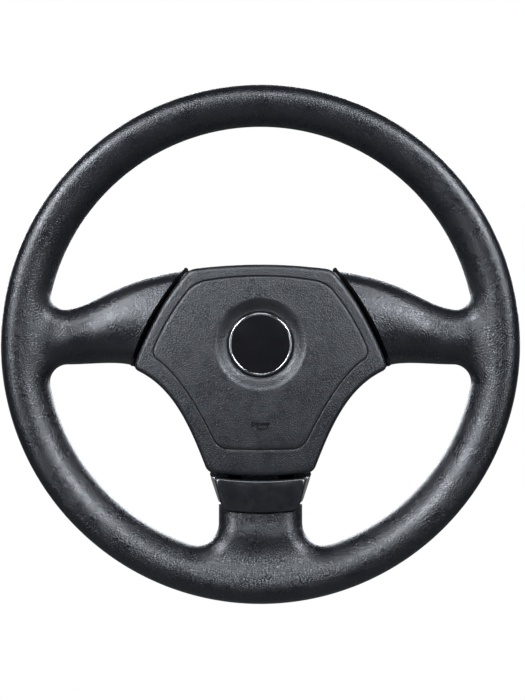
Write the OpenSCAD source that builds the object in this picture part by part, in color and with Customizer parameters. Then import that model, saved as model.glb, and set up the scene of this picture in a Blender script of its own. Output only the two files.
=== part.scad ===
// Three-spoke car steering wheel with a sprung airbag pad.
// Every sub-part is drawn in the wheel's plan: x to the right, y to twelve o'clock, z out of the
// column towards the driver, with z = 0 on the back of the casting's web.
// upright() then stands the wheel up: plan y becomes +Z and plan z becomes -Y.

/* [Rim] */
// Outside diameter of the rim
rim_d = 385; // [375:1:395]
// Mean width of the rim's tube, seen from the front
rim_w = 32.7; // [31:0.1:35]
// Depth of the rim's tube, front to back
rim_depth = 33; // [30:0.5:36]
// How far the inner edge's circle is raised, so that the tube is thicker at six o'clock
rim_bias = 2.1; // [0:0.1:3]
// Height of the rim's middle plane over the back of the web
rim_z = 62; // [60:1:66]
// Diameter of the steel ring inside the rim
ring_d = 12; // [10:0.5:14]

/* [Spokes] */
// Height of a side spoke's top edge where it meets the rim
spoke_top_y = 26.2; // [23:0.1:30]
// Height of a side spoke's bottom edge where it meets the rim
spoke_bottom_y = -15; // [-18:0.1:-12]
// Radius of the corner over a side spoke
top_fillet = 10; // [8:0.5:14]
// Radius of the corner under a side spoke
bottom_fillet = 13; // [10:0.5:16]
// Width of the lower spoke
low_spoke_w = 62.2; // [58:0.2:66]
// Radius of the corners beside the lower spoke
low_fillet = 16.5; // [12:0.5:20]
// Width of the rounding along a spoke's edges
spoke_round = 13; // [8:0.5:14]
// Level of a spoke's face beside the pad
spoke_face_z = 67.5; // [66:0.5:70]
// How far a spoke's back drops towards the hub
spoke_back_drop = 20; // [17:0.5:23]
// Angle at which a side spoke's crowned face meets its roundings
spoke_tilt = 15; // [0:1:20]
// The same angle on the lower spoke
low_tilt = 7; // [0:1:12]

/* [Pad] */
// Height of the pad's top edge
pad_top_y = 59.2; // [57:0.1:62]
// Fall of the pad's top edge from its middle to its corner
pad_top_sag = 3.6; // [1:0.1:5]
// Height of the pad's bottom edge at its corners
pad_bottom_y = -95; // [-98:0.5:-92]
// Fall of the pad's bottom edge from its corners to its middle
pad_bottom_sag = 2.8; // [1:0.1:4]
// Half width of the pad's bottom edge
pad_bottom_w = 39.3; // [36:0.1:42]
// Half width of the pad at its upper corners
pad_corner_x = 53.3; // [51:0.1:56]
// Half width of the pad at its widest
pad_side_x = 94.6; // [92:0.1:98]
// Height of the pad's widest place
pad_side_y = -18.2; // [-21:0.1:-15]
// Level of the pad's face at its middle
pad_z = 73; // [70:0.5:74]
// Fall of the pad's face at its edges
pad_crown = 4.6; // [1:0.1:5]
// Radius of the pad's rounded edge
pad_edge_r = 3.6; // [2:0.1:4]
// Wall of the pad's cover
cover_t = 3; // [2:0.1:3.5]
// Level of the lower edge of the cover's skirt
skirt_z = 45; // [44:0.5:47]
// Width of the gap between the pad and a side spoke
gap_w = 3.3; // [2.6:0.1:4.5]
// Bow of the gap between the pad and a side spoke
gap_bow = 4.4; // [2:0.1:6]
// Width of the tear seam
seam_w = 1.5; // [1:0.1:2]
// Depth of the tear seam
seam_deep = 0.9; // [0.5:0.1:1.4]
// Distance from the pad's upper edges to the tear seam
seam_inset = 8.6; // [7:0.1:11]

/* [Badge] */
// Radius of the badge
badge_r = 24.4; // [20:0.1:27]
// Radius of the dished recess around the badge
recess_r = 33; // [30:0.5:38]
// Depth of the dished recess
recess_deep = 4.6; // [3:0.1:5]

/* [Hub] */
// Diameter of the bore that slides over the column's end
bore_d = 17.5; // [16:0.1:20]
// Length of the smooth stretch of that bore
bore_pilot = 12; // [10:0.5:14]
// Length of the toothed stretch of that bore
spline_length = 10; // [8:0.5:12]
// Number of teeth
spline_teeth = 36; // [24:1:48]
// Diameter of the steel bush
bush_d = 27; // [25:0.5:30]
// Diameter of the casting's boss around the bush
boss_d = 38; // [36:0.5:40]
// Thickness of the casting's web
web_t = 5; // [4:0.5:6]
// Thickness of an arm
arm_t = 9; // [7:0.5:11]
// Width of an arm at the hub
arm_w = 32; // [26:1:36]
// Wall of the channel behind an arm
arm_wall = 3.4; // [2.5:0.1:4]

/* [Horn] */
// Travel of the pad when the horn is pressed
horn_travel = 2; // [1:0.1:2.4]
// Distance from the inflator's flange out to the circle of the horn's springs
horn_gap = 11; // [10:0.1:12]
// Level of the back of the contact plate
contact_z = 30.4; // [29:0.1:32]
// Diameter of a guide bolt's shank
guide_d = 5; // [4:0.1:6]
// Diameter of the wire of a horn spring
spring_wire = 0.9; // [0.6:0.1:1.1]

/* [Airbag module] */
// Level of the back of the module's plate
module_z = 46; // [45:0.5:48]
// Thickness of sheet steel parts
sheet_t = 1.6; // [1.2:0.1:2]
// Radius of the inflator
inflator_r = 38; // [34:0.5:40]
// Height of the inflator
inflator_h = 34; // [30:0.5:36]
// Width of the inflator's flange
flange_w = 9; // [8:0.5:10]

/* [Contact cassette] */
// Distance from the circle of the airbag's screws in to the cassette for the airbag's flat cable
cassette_gap = 12; // [11:0.5:15]
// Depth of the cassette
cassette_deep = 15; // [13:0.5:18]
// Turns of the flat cable
cable_turns = 5; // [3:1:7]

/* [Rear cover and trim] */
// Wall of the rear cover
rear_t = 2.2; // [1.8:0.1:3]
// Play between the cassette and the rear cover's opening around it
rear_open_play = 4; // [3:0.5:5]
// Level of the rear cover's front edge
rear_edge_z = 42; // [41:0.5:42.5]
// Width of the lower trim at its top
trim_w = 75.6; // [73:0.2:77]
// Wall of the lower trim
trim_t = 2.2; // [1.8:0.1:3]
// Level of the lower trim's face
trim_z = 67; // [66:0.5:69]

/* [Hidden] */
$fn = 64;

charcoal = "#3a3c42";
plastic_black = "#1c1d20";
steel = "#9a9da3";
alloy = "#b4b6ba";
yellow_zinc = "#c2a75a";

seat_gap = 0.3;
eps = 0.01;
horn_pcd_r = inflator_r + flange_w + horn_gap;
cassette_r = horn_pcd_r - cassette_gap;

function mix(a, b, u) = a + (b - a) * u;
function unit(v) = v / norm(v);
function ease(u) = let (v = min(max(u, 0), 1)) v * v * (3 - 2 * v);
function polar(r, a) = [r * cos(a), r * sin(a)];
function left_of(d) = [-d.y, d.x];
function flip_x(p) = [0 - p.x, p.y];
function bezier(p, u) =
  let (a = mix(p[0], p[1], u), b = mix(p[1], p[2], u), c = mix(p[2], p[3], u))
  mix(mix(a, b, u), mix(b, c, u), u);
function bezier_dir(p, u) =
  unit((p[1] - p[0]) * pow(1 - u, 2) + (p[2] - p[1]) * 2 * u * (1 - u) + (p[3] - p[2]) * u * u);
function corner(a, p, b, steps) =
  [for (i = [0 : steps]) let (u = i / steps) mix(mix(a, p, u), mix(p, b, u), u)];

// Turns the plan into the upright wheel
module upright() {
  rotate([90, 0, 0]) children();
}
module both_sides() {
  children();
  mirror([1, 0, 0]) children();
}
module ring_of(r, angles) {
  for (a = angles) translate([r * cos(a), r * sin(a), 0]) children();
}
// A tube or disc between two levels
module drum(r, z0, z1, hole = 0) {
  difference() {
    translate([0, 0, z0]) cylinder(r = r, h = z1 - z0);
    if (hole > 0) translate([0, 0, z0 - 1]) cylinder(r = hole, h = z1 - z0 + 2);
  }
}

// Mesh patches: a patch is a list of rows of points, joined with its neighbours where they meet
function patch_base(patches, k) =
  k == 0 ? 0 : patch_base(patches, k - 1) + len(patches[k - 1][0]) * len(patches[k - 1][0][0]);
function patch_faces(rows, base, turned) =
  let (nc = len(rows[0]))
  [for (i = [0 : len(rows) - 2]) for (j = [0 : nc - 2]) for (half = [0, 1])
    let (a = base + i * nc + j, c = a + nc)
    let (face = half == 0 ? [a, a + 1, c + 1] : [a, c + 1, c])
    let (p = rows[i][j], q = half == 0 ? rows[i][j + 1] : rows[i + 1][j], r = rows[i + 1][j + 1])
    if (norm(p - q) > 1e-9 && norm(p - r) > 1e-9 && norm(q - r) > 1e-9)
      turned ? [face[2], face[1], face[0]] : face];
module patched(patches) {
  polyhedron(
    points = [for (patch = patches) for (row = patch[0]) each row],
    faces = [for (k = [0 : len(patches) - 1])
      each patch_faces(patches[k][0], patch_base(patches, k), patches[k][1])],
    convexity = 6);
}
function mirrored(patches) =
  [for (patch = patches)
    [[for (row = patch[0]) [for (p = row) [0 - p.x, p.y, p.z]]], !patch[1]]];

// The pad's corners, its bowed side and the gap that runs along that side
pad_b = [pad_corner_x, pad_top_y - pad_top_sag];
pad_d = [pad_side_x, pad_side_y];
pad_e = [pad_bottom_w, pad_bottom_y];
gap_out = unit(left_of(pad_d - pad_b));
gap_range = [0.025, 0.985];
function gap_at(u, off) =
  let (v = mix(gap_range[0], gap_range[1], u))
  mix(pad_b, pad_d, v) + gap_out * (gap_bow * 4 * v * (1 - v) + gap_w / 2 + off);

// The rim in plan
rim_r = rim_d / 2;
inner_r = rim_r - rim_w;
ring_r = (rim_r + inner_r) / 2;
function inner_at(a) = rim_bias * sin(a) + sqrt(pow(inner_r, 2) - pow(rim_bias * cos(a), 2));
function crest_at(a) = (rim_r + inner_at(a)) / 2;

// The grip's front and back levels over the plan, from the rim's crest to the pad
function fall_at(r, r_end) = ease((ring_r - r) / (ring_r - r_end));
function front_at(p) =
  mix(rim_z + rim_depth / 2, spoke_face_z, fall_at(norm(p), 124));
function back_at(p) = rim_z - rim_depth / 2 - spoke_back_drop * fall_at(norm(p), 80);
// Level of the skin at a plan point: bulge is 1 at a crest and 0 at an edge, side -1 is the back
function skin_z(p, side, bulge) =
  let (front = front_at(p), back = back_at(p))
  (front + back) / 2 + side * bulge * (front - back) / 2;

// Edges of the windows: a station is [edge point, direction into the grip, width of rounding,
// share of the local level, slope of the front at the rounding's end]
fillet_steps = 6;
edge_steps = 8;
low_steps = 3;
round_steps = 5;
across_steps = 8;
rim_step = 5;
function fillet_centre(r, edge_y) =
  [sqrt(pow(inner_r - r, 2) - pow(edge_y - rim_bias, 2)), edge_y];
top_c = fillet_centre(top_fillet, spoke_top_y + top_fillet);
bottom_c = fillet_centre(bottom_fillet, spoke_bottom_y - bottom_fillet);
low_c = [low_spoke_w / 2 + low_fillet,
  rim_bias - sqrt(pow(inner_r - low_fillet, 2) - pow(low_spoke_w / 2 + low_fillet, 2))];
function tangent_angle(c) = atan2(c.y - rim_bias, c.x);
low_cut_y = pad_bottom_y - 24.4;

function fillet_stations(c, r, a0, a1) =
  [for (i = [0 : fillet_steps])
    let (u = i / fillet_steps, a = mix(a0, a1, u), n = polar(1, a), b = c + r * n)
    let (rim_angle = atan2(b.y, b.x), tube = crest_at(rim_angle) - inner_at(rim_angle))
    [b, n, mix(tube, spoke_round, ease(u)), ease(u)]];
// Towards the cut the rounding leans over to the cut's own line, which ends at cut_crest
function edge_stations(curve, steps, side, cut_crest) =
  let (lean = (cut_crest - curve[3]) / spoke_round)
  [for (i = [1 : steps])
    let (u = i / steps, square = side * left_of(bezier_dir(curve, u)))
    [bezier(curve, u), mix(square, lean, u * u * u), spoke_round, 1]];

// Where the cut's roundings end, as shares of its length
top_share = 0.155;
bottom_share = 0.87;
top_edge = let (p = top_c - [0, top_fillet], q = gap_at(0, gap_w / 2))
  [p, p - [22, -0.8], q + 55 * polar(1, -7.5), q];
bottom_edge = let (p = bottom_c + [0, bottom_fillet], q = gap_at(1, gap_w / 2))
  [p, p - [16, 0], q + 12 * polar(1, 14), q];
low_edge = let (p = low_c - [low_fillet, 0], q = [low_spoke_w / 2, low_cut_y])
  [p, mix(p, q, 1 / 3), mix(p, q, 2 / 3), q];

// The crown's slope grows from the rim on, along the first half of a spoke's rows
function crown_slope(tilt, row_u) = tan(tilt) * ease(2 * row_u);
function crowned(branch, tilt) =
  let (n = len(branch) - 1)
  [for (k = [0 : n]) concat(branch[k], crown_slope(tilt, k / n))];
top_branch = crowned(concat(fillet_stations(top_c, top_fillet, tangent_angle(top_c), -90),
  edge_stations(top_edge, edge_steps, 1, gap_at(top_share, gap_w / 2))), spoke_tilt);
bottom_branch = crowned(concat(fillet_stations(bottom_c, bottom_fillet, tangent_angle(bottom_c), 90),
  edge_stations(bottom_edge, edge_steps, -1, gap_at(bottom_share, gap_w / 2))), spoke_tilt);
low_branch = crowned(concat(fillet_stations(low_c, low_fillet, tangent_angle(low_c), -180),
  edge_stations(low_edge, low_steps, 1, low_edge[3] - [spoke_round, 0])), low_tilt);

// A station's crest point, where the rounding ends
function crest_of(s) = s[0] + s[2] * s[1];
function angle_of(p) = atan2(p.y, p.x);
function rim_station(a) =
  [polar(inner_at(a), a), polar(1, a), crest_at(a) - inner_at(a), 0, 0];
function rim_stations(a0, a1) =
  let (n = round(abs(a1 - a0) / rim_step))
  [for (i = [0 : n]) rim_station(mix(a0, a1, i / n))];

top_join = angle_of(crest_of(top_branch[0]));
bottom_join = angle_of(crest_of(bottom_branch[0]));
low_join = angle_of(crest_of(low_branch[0]));

// The rounded strip from a window's edge up to its crest, on the front (side 1) or back (side -1)
function strip_row(s, side) =
  let (c = crest_of(s))
  [for (k = [0 : round_steps])
    let (a = 90 * k / round_steps, p = mix(c, s[0], sin(a)), q = mix(c, p, s[3]))
    let (fall = s[4] * s[2] * sin(a) * cos(a))
    [p.x, p.y, skin_z(q, side, cos(a)) - (side > 0 ? fall : 0)]];
function outer_row(c, side) =
  [for (k = [0 : round_steps])
    let (a = 90 * k / round_steps, p = mix(c, rim_r * unit(c), sin(a)))
    [p.x, p.y, skin_z(c, side, cos(a))]];

// A row across a spoke, from the crest over it to the crest under it
function across_row(c0, c1, bend, row_u, side) =
  [for (i = [0 : across_steps])
    let (u = i / across_steps, p = mix(c0, c1, u) + bend(u))
    let (crown = crown_slope(spoke_tilt, row_u) * norm(c1 - c0) * u * (1 - u))
    let (p = i == 0 ? c0 : i == across_steps ? c1 : p)
    [p.x, p.y, skin_z(p, side, 1) + (side > 0 ? crown : 0)]];
function arc_bend(c0, c1, u) =
  let (a = mix(angle_of(c0), angle_of(c1), u), m = mix(c0, c1, u))
  polar(crest_at(a), a) - m;
function cut_bend(u) =
  let (c0 = gap_at(top_share, gap_w / 2), c1 = gap_at(bottom_share, gap_w / 2))
  gap_at(mix(top_share, bottom_share, u), gap_w / 2) - mix(c0, c1, u);
function side_row(k, side) =
  let (n = len(top_branch) - 1, row_u = k / n)
  let (c0 = crest_of(top_branch[k]), c1 = crest_of(bottom_branch[k]))
  let (j0 = crest_of(top_branch[0]), j1 = crest_of(bottom_branch[0]))
  across_row(c0, c1,
    function(u) arc_bend(j0, j1, u) * pow(1 - row_u, 2) + cut_bend(u) * pow(row_u, 3),
    row_u, side);
function low_row(k, side) =
  let (n = len(low_branch) - 1, row_u = k / n)
  let (c = crest_of(low_branch[k]), j = crest_of(low_branch[0]))
  [for (i = [0 : across_steps / 2])
    let (u = i / across_steps * 2)
    let (a = mix(angle_of(j), -90, u), bend = polar(crest_at(a), a).y - j.y)
    let (p = [c.x * (1 - u), c.y + (i == 0 ? 0 : bend * pow(1 - row_u, 2))])
    let (crown = crown_slope(low_tilt, row_u) * c.x * u * (1 - u / 2))
    [p.x, p.y, skin_z(p, side, 1) + (side > 0 ? crown : 0)]];

// The end of a spoke: the strip over it, the rows across and the strip under it
function reversed(list) = [for (i = [len(list) - 1 : -1 : 0]) list[i]];
function inner_part(list) = [for (i = [1 : len(list) - 2]) list[i]];
function side_end(side) =
  let (n = len(top_branch) - 1)
  concat(reversed(strip_row(top_branch[n], side)), inner_part(side_row(n, side)),
    strip_row(bottom_branch[n], side));
function low_end(side) =
  let (n = len(low_branch) - 1, row = low_row(n, side))
  concat(reversed(strip_row(low_branch[n], side)), [for (i = [1 : len(row) - 1]) row[i]]);

function all_but_last(list) = [for (i = [0 : len(list) - 2]) list[i]];
function flat(row) = [for (p = row) [p.x, p.y]];
upper_window = concat(all_but_last(rim_stations(90, top_join)), top_branch);
lower_arc = rim_stations(bottom_join, low_join);
lower_window = concat(reversed(bottom_branch), inner_part(lower_arc), low_branch);
crest_line = concat(
  [for (s = all_but_last(rim_stations(90, top_join))) crest_of(s)],
  flat(side_row(0, 1)),
  [for (s = inner_part(lower_arc)) crest_of(s)],
  flat(low_row(0, 1)));

function half_grip() =
  concat(
    [for (side = [1, -1]) [[for (s = upper_window) strip_row(s, side)], side > 0]],
    [for (side = [1, -1]) [[for (s = lower_window) strip_row(s, side)], side > 0]],
    [for (side = [1, -1]) [[for (c = crest_line) outer_row(c, side)], side < 0]],
    [for (side = [1, -1])
      [[for (k = [0 : len(top_branch) - 1]) side_row(k, side)], side < 0]],
    [for (side = [1, -1])
      [[for (k = [0 : len(low_branch) - 1]) low_row(k, side)], side < 0]],
    [[[side_end(1), side_end(-1)], false], [[low_end(1), low_end(-1)], false]]);

// Lines that follow the pad: its outline, its tear seam and the circle of its recess. Each is a
// loop of as many points, clockwise from the top's middle, so that a point has its partner inward
top_steps = 4;
side_steps = 8;
under_steps = 9;
corner_steps = 4;
function half_shield(top_y, b, d, e, bow, ctrl, sag, legs) =
  let (chord = d - b, out = unit(left_of(chord)))
  let (top = function(u) [b.x * u, mix(top_y, b.y, u * u)])
  let (side = function(u) mix(b, d, u) + out * bow * 4 * u * (1 - u))
  let (under = function(u) bezier([d, ctrl[0], ctrl[1], e], u))
  let (low = function(u) [e.x * (1 - u), e.y - sag * (1 - pow(1 - u, 2))])
  let (t1 = 1 - legs[0] / b.x, s0 = legs[0] / norm(chord), s1 = 1 - legs[1] / norm(chord))
  let (u0 = legs[1] / (3 * norm(ctrl[0] - d)), u1 = 1 - legs[2] / (3 * norm(e - ctrl[1])))
  let (l0 = legs[2] / e.x)
  concat(
    [for (i = [0 : top_steps - 1]) top(t1 * i / top_steps)],
    corner(top(t1), b, side(s0), corner_steps),
    [for (i = [1 : side_steps - 1]) side(mix(s0, s1, i / side_steps))],
    corner(side(s1), d, under(u0), corner_steps),
    [for (i = [1 : under_steps - 1]) under(mix(u0, u1, i / under_steps))],
    corner(under(u1), e, low(l0), corner_steps),
    [for (i = [1, 2]) low(mix(l0, 1, i / 2))]);
function whole(half) =
  concat(half, [for (i = [len(half) - 2 : -1 : 1]) flip_x(half[i])]);
function inward(loop, i) =
  let (n = len(loop), d = unit(loop[(i + 1) % n] - loop[(i + n - 1) % n]))
  [d.y, -d.x];
// Moves a loop inward by d towards its partner loop
function inset(loop, partner, d) =
  [for (i = [0 : len(loop) - 1])
    let (way = unit(partner[i] - loop[i]))
    loop[i] + way * d / max(0.62, inward(loop, i) * way)];
function loop_mix(a, b, u) = [for (i = [0 : len(a) - 1]) mix(a[i], b[i], u)];
function circle_like(loop, r) = [for (p = loop) r * unit(p)];

pad_ctrl = [pad_d + [-30.5, -12.1], pad_e + [12.3, 32]];
pad_loop = whole(half_shield(pad_top_y, pad_b, pad_d, pad_e, gap_bow, pad_ctrl, pad_bottom_sag,
  [5, 5, 5]));
seam_b = pad_b + [-4.6, -1.2 - seam_inset];
seam_d = pad_d + [-13.2, 9.6];
seam_e = pad_e + [-7.8, 17.8];
seam_ctrl = [seam_d + [-18, -8], seam_e + [14, 30]];
seam_loop = whole(half_shield(pad_top_y - seam_inset, seam_b, seam_d, seam_e, 3, seam_ctrl, 0.8,
  [9, 7, 8]));
recess_loop = circle_like(seam_loop, recess_r);

badge_seat = 2;
seat_z = pad_z - recess_deep - badge_seat;
function face_z(p) = pad_z - pad_crown * pow(norm(p) / pad_side_x, 2);
function ring_at(loop, fall) = [for (p = loop) [p.x, p.y, face_z(p) - fall]];
function flat_ring(loop, z) = [for (p = loop) [p.x, p.y, z]];
function closed(ring) = concat(ring, [ring[0]]);
function point_ring(loop, z) = [for (p = loop) [0, 0, z]];

// The pad's cover: one skin of rings, up the inside, round the skirt's edge and over the face
skirt_draft = 0.8;
pad_rings = let (
    r_in = recess_r + 4, dish = recess_deep,
    inner_edge = inset(pad_loop, seam_loop, cover_t + 1.2),
    bowl = function(r, fall) ring_at(circle_like(seam_loop, r), fall))
  concat(
    [point_ring(pad_loop, seat_z - cover_t)],
    [flat_ring(circle_like(seam_loop, badge_r + 4), seat_z - cover_t)],
    [bowl(r_in, cover_t)],
    [ring_at(inset(pad_loop, seam_loop, cover_t + 3), cover_t)],
    [ring_at(inner_edge, cover_t + 2)],
    [flat_ring(inset(pad_loop, seam_loop, cover_t + skirt_draft), skirt_z)],
    [flat_ring(inset(pad_loop, seam_loop, skirt_draft), skirt_z)],
    [for (a = [0 : 22.5 : 90])
      ring_at(inset(pad_loop, seam_loop, pad_edge_r * (1 - cos(a))), pad_edge_r * (1 - sin(a)))],
    [ring_at(loop_mix(inset(pad_loop, seam_loop, pad_edge_r), seam_loop, 0.5), 0)],
    [ring_at(inset(seam_loop, recess_loop, -seam_w / 2), 0)],
    [ring_at(inset(seam_loop, recess_loop, -seam_w / 4), seam_deep)],
    [ring_at(inset(seam_loop, recess_loop, seam_w / 4), seam_deep)],
    [ring_at(inset(seam_loop, recess_loop, seam_w / 2), 0)],
    [ring_at(loop_mix(seam_loop, recess_loop, 0.5), 0)],
    [bowl(recess_r + 1.2, 0)],
    [bowl(recess_r - 1, 0.5)],
    [bowl(mix(recess_r, badge_r, 0.5), dish * 0.62)],
    [flat_ring(circle_like(seam_loop, badge_r + 0.5), pad_z - dish)],
    [flat_ring(circle_like(seam_loop, badge_r + 0.2), seat_z)],
    [point_ring(pad_loop, seat_z)]);

boss_r = 3.6;
boss_at = [[46.5, 44.5], [79, -9], [29, -83]];
boss_bottom = module_z + sheet_t;
cover_screw_r = 1.6;
module boss_points() {
  both_sides() for (p = boss_at) translate([p.x, p.y, 0]) children();
}

module pad_cover() {
  color(charcoal) upright() difference() {
    union() {
      patched([[[for (ring = pad_rings) closed(ring)], false]]);
      both_sides() for (p = boss_at) translate([p.x, p.y, boss_bottom])
        cylinder(r = boss_r, h = face_z(p) - cover_t / 2 - boss_bottom);
    }
    boss_points() translate([0, 0, boss_bottom - 1]) cylinder(r = cover_screw_r + 0.05, h = 11);
  }
}

// Badge: a black foot with a shallow gloss dome, and a bright ring on it
badge_foot = 1.8;
dome_r = badge_r - 2.8;
bezel_w = 1.7;
module badge_disc() {
  rise = 1.7;
  big_r = (dome_r * dome_r + rise * rise) / (2 * rise);
  span = asin(dome_r / big_r);
  arc = [for (i = [0 : 12])
    let (a = span * i / 12)
    [big_r * sin(a), seat_z + badge_foot + rise - big_r * (1 - cos(a))]];
  color("#101114") upright() rotate_extrude()
    polygon(concat([[0, seat_z]], [for (p = arc) p],
      [[badge_r - 0.3, seat_z + badge_foot], [badge_r, seat_z + badge_foot - 0.3],
        [badge_r, seat_z]]));
}
module badge_bezel() {
  r0 = dome_r + 0.05;
  z0 = seat_z + badge_foot;
  color("#c9cbd0") upright() rotate_extrude()
    polygon([[r0, z0], [r0 + bezel_w, z0], [r0 + bezel_w, z0 + 0.5], [r0 + bezel_w - 0.4, z0 + 1],
      [r0 + 0.4, z0 + 1], [r0, z0 + 0.6]]);
}

// Arms: each rises from the web to the ring in a smooth step, under the module and into the grip
side_arm_a = 4;
side_rise_r = 58;
low_rise_r = 66;
knee_reach = 17.4;
knee_r = pad_side_x + knee_reach;
knee_z = 46;
arm_tip_w = arm_w * 0.75;
arm_step = 6;
function arm_z(r, r0) =
  mix(arm_t / 2, knee_z, ease((r - r0) / (knee_r - r0)))
  + (rim_z - knee_z) * ease((r - knee_r + 30) / (ring_r - knee_r + 30));
module arm_slab(r0, from_r, to_r, under, over, w) {
  n = round((to_r - from_r) / arm_step);
  rs = [for (i = [0 : n]) mix(from_r, to_r, i / n)];
  translate([0, w / 2, 0]) rotate([90, 0, 0]) linear_extrude(w)
    polygon(concat([for (r = rs) [r, arm_z(r, r0) - under]],
      [for (r = reversed(rs)) [r, arm_z(r, r0) + over]]));
}
module arm_plan(less) {
  w0 = arm_w / 2 - less;
  w1 = arm_tip_w / 2 - less;
  translate([0, 0, -20]) linear_extrude(rim_z + 60)
    polygon([[0, -w0], [ring_r + 10, -w1], [ring_r + 10, w1], [0, w0]]);
}
lug_r = ring_d / 2 + 3.5;
lug_span = 9;
module arm_solid(r0) {
  intersection() {
    arm_slab(r0, boss_d / 2 - 3, ring_r, arm_t / 2, arm_t / 2, arm_w + 2);
    arm_plan(0);
  }
  translate([0, 0, rim_z]) rotate([0, 0, -lug_span / 2]) rotate_extrude(angle = lug_span)
    translate([ring_r, 0]) circle(r = lug_r);
}
rib_pitch = 24;
module arm_pocket(r0) {
  from_r = r0 + 8;
  to_r = ring_r - lug_r - 6;
  difference() {
    intersection() {
      arm_slab(r0, from_r, to_r, arm_t, arm_t / 2 - arm_wall, arm_w + 2);
      arm_plan(arm_wall);
    }
    for (r = [from_r + rib_pitch : rib_pitch : to_r - 6])
      translate([r, -arm_w, -5]) cube([arm_wall, arm_w * 2, rim_z + 20]);
  }
}
module at_arms() {
  rotate([0, 0, side_arm_a]) { $r0 = side_rise_r; children(); }
  rotate([0, 0, 180 - side_arm_a]) { $r0 = side_rise_r; children(); }
  rotate([0, 0, -90]) { $r0 = low_rise_r; children(); }
}

module rim_ring_solid(r) {
  translate([0, 0, rim_z]) rotate_extrude($fn = 96) translate([ring_r, 0]) circle(r = r);
}
module rim_ring() {
  color(steel) upright() rim_ring_solid(ring_d / 2);
}

// The lower trim's lip over the lower spoke has a bowed edge with rounded corners
lip_w = 28;
lip_t = 3.2;
lip_drop = 6.2;
lip_bow = 2.2;
lip_corner = 5;
lip_steps = 5;
module lip_plan(grow) {
  w = lip_w + grow;
  low = low_cut_y - lip_drop - grow;
  turn = w - lip_corner;
  edge = function(x) [x, low + lip_bow * pow(x / w, 2)];
  polygon(whole(concat(
    [for (i = [0 : lip_steps]) edge(turn * i / lip_steps)],
    corner(edge(turn), edge(w), edge(w) + [0, lip_corner], lip_steps),
    [[w, low + 30], [0, low + 30]])));
}
module grip() {
  color(charcoal) upright() difference() {
    patched(concat(half_grip(), mirrored(half_grip())));
    rim_ring_solid(ring_d / 2);
    at_arms() arm_solid($r0);
    translate([0, 0, trim_z - lip_t - seat_gap]) linear_extrude(20) lip_plan(seat_gap);
  }
}

// Casting: web, boss for the bush, four pillars for the airbag's contact plate and three arms
pillar_angles = [14, 166, -68, -112];
guide_angles = [52, 128, -38, -142];
stud_angles = [-12, 192];
rotor_screw_angles = [60, 120, 225, 315];
rotor_screw_r = 28;
pillar_r = 5.6;
screw_r = 2.5;
hole_play = 0.25;
small_screw_r = 1.7;
cover_at = [polar(horn_pcd_r - 0.5, 33), polar(horn_pcd_r - 0.5, -45)];
boss_back = -6;
boss_front = 14;
web_edge = horn_pcd_r + 5;
web_top = horn_pcd_r - 14;
web_low = -horn_pcd_r - 3;
web_half = [[0, web_top], [horn_pcd_r - 28, web_top], [horn_pcd_r - 4, web_top - 8],
  [web_edge, web_top - 24], [web_edge, 0], [horn_pcd_r - 10, 12 - horn_pcd_r],
  [horn_pcd_r - 28, web_low], [0, web_low]];
web_points = let (n = len(web_half))
  concat([web_half[0]],
    [for (i = [1 : n - 2])
      let (p = web_half[i], a = web_half[i - 1], b = web_half[i + 1])
      each corner(p + 6 * unit(a - p), p, p + 6 * unit(b - p), 4)],
    [web_half[n - 1]]);
module armature() {
  color(alloy) upright() difference() {
    union() {
      linear_extrude(web_t) polygon(whole(web_points));
      drum(boss_d / 2, boss_back, boss_front);
      ring_of(horn_pcd_r, pillar_angles) cylinder(r = pillar_r, h = contact_z);
      for (a = pillar_angles) rotate([0, 0, a])
        translate([boss_d / 2 - 2, -2, 0]) cube([horn_pcd_r - boss_d / 2, 4, boss_front]);
      at_arms() difference() {
        arm_solid($r0);
        arm_pocket($r0);
      }
    }
    rim_ring_solid(ring_d / 2);
    drum(bush_d / 2, boss_back - 1, boss_front + 1);
    ring_of(horn_pcd_r, pillar_angles)
      translate([0, 0, -1]) cylinder(r = screw_r + hole_play, h = contact_z + 2);
    ring_of(rotor_screw_r, rotor_screw_angles)
      translate([0, 0, -1]) cylinder(r = small_screw_r + hole_play, h = web_t + 2);
    both_sides() for (p = cover_at)
      translate([p.x, p.y, -1]) cylinder(r = small_screw_r + 0.05, h = web_t + 2);
  }
}

// Steel bush: a smooth pilot at the back, then teeth
bush_back = boss_back - 2;
bush_front = bush_back + bore_pilot + spline_length + 2;
tooth_deep = 0.7;
module hub_bush() {
  pilot_r = bore_d / 2;
  minor_r = pilot_r - 0.5;
  spline_z = bush_back + bore_pilot;
  color(steel) upright() difference() {
    drum(bush_d / 2, bush_back, bush_front);
    translate([0, 0, bush_back - 1]) cylinder(r = pilot_r, h = bore_pilot + 1);
    translate([0, 0, spline_z - 1]) cylinder(r = minor_r, h = spline_length + 4);
    translate([0, 0, spline_z + spline_length]) cylinder(r = pilot_r + 0.6, h = 4);
    for (i = [0 : spline_teeth - 1]) rotate([0, 0, 360 * i / spline_teeth])
      translate([0, 0, spline_z - eps]) linear_extrude(spline_length + 1)
        polygon([[minor_r - 0.4, -0.5], [minor_r + tooth_deep, -0.1],
          [minor_r + tooth_deep, 0.1], [minor_r - 0.4, 0.5]]);
  }
}

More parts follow.
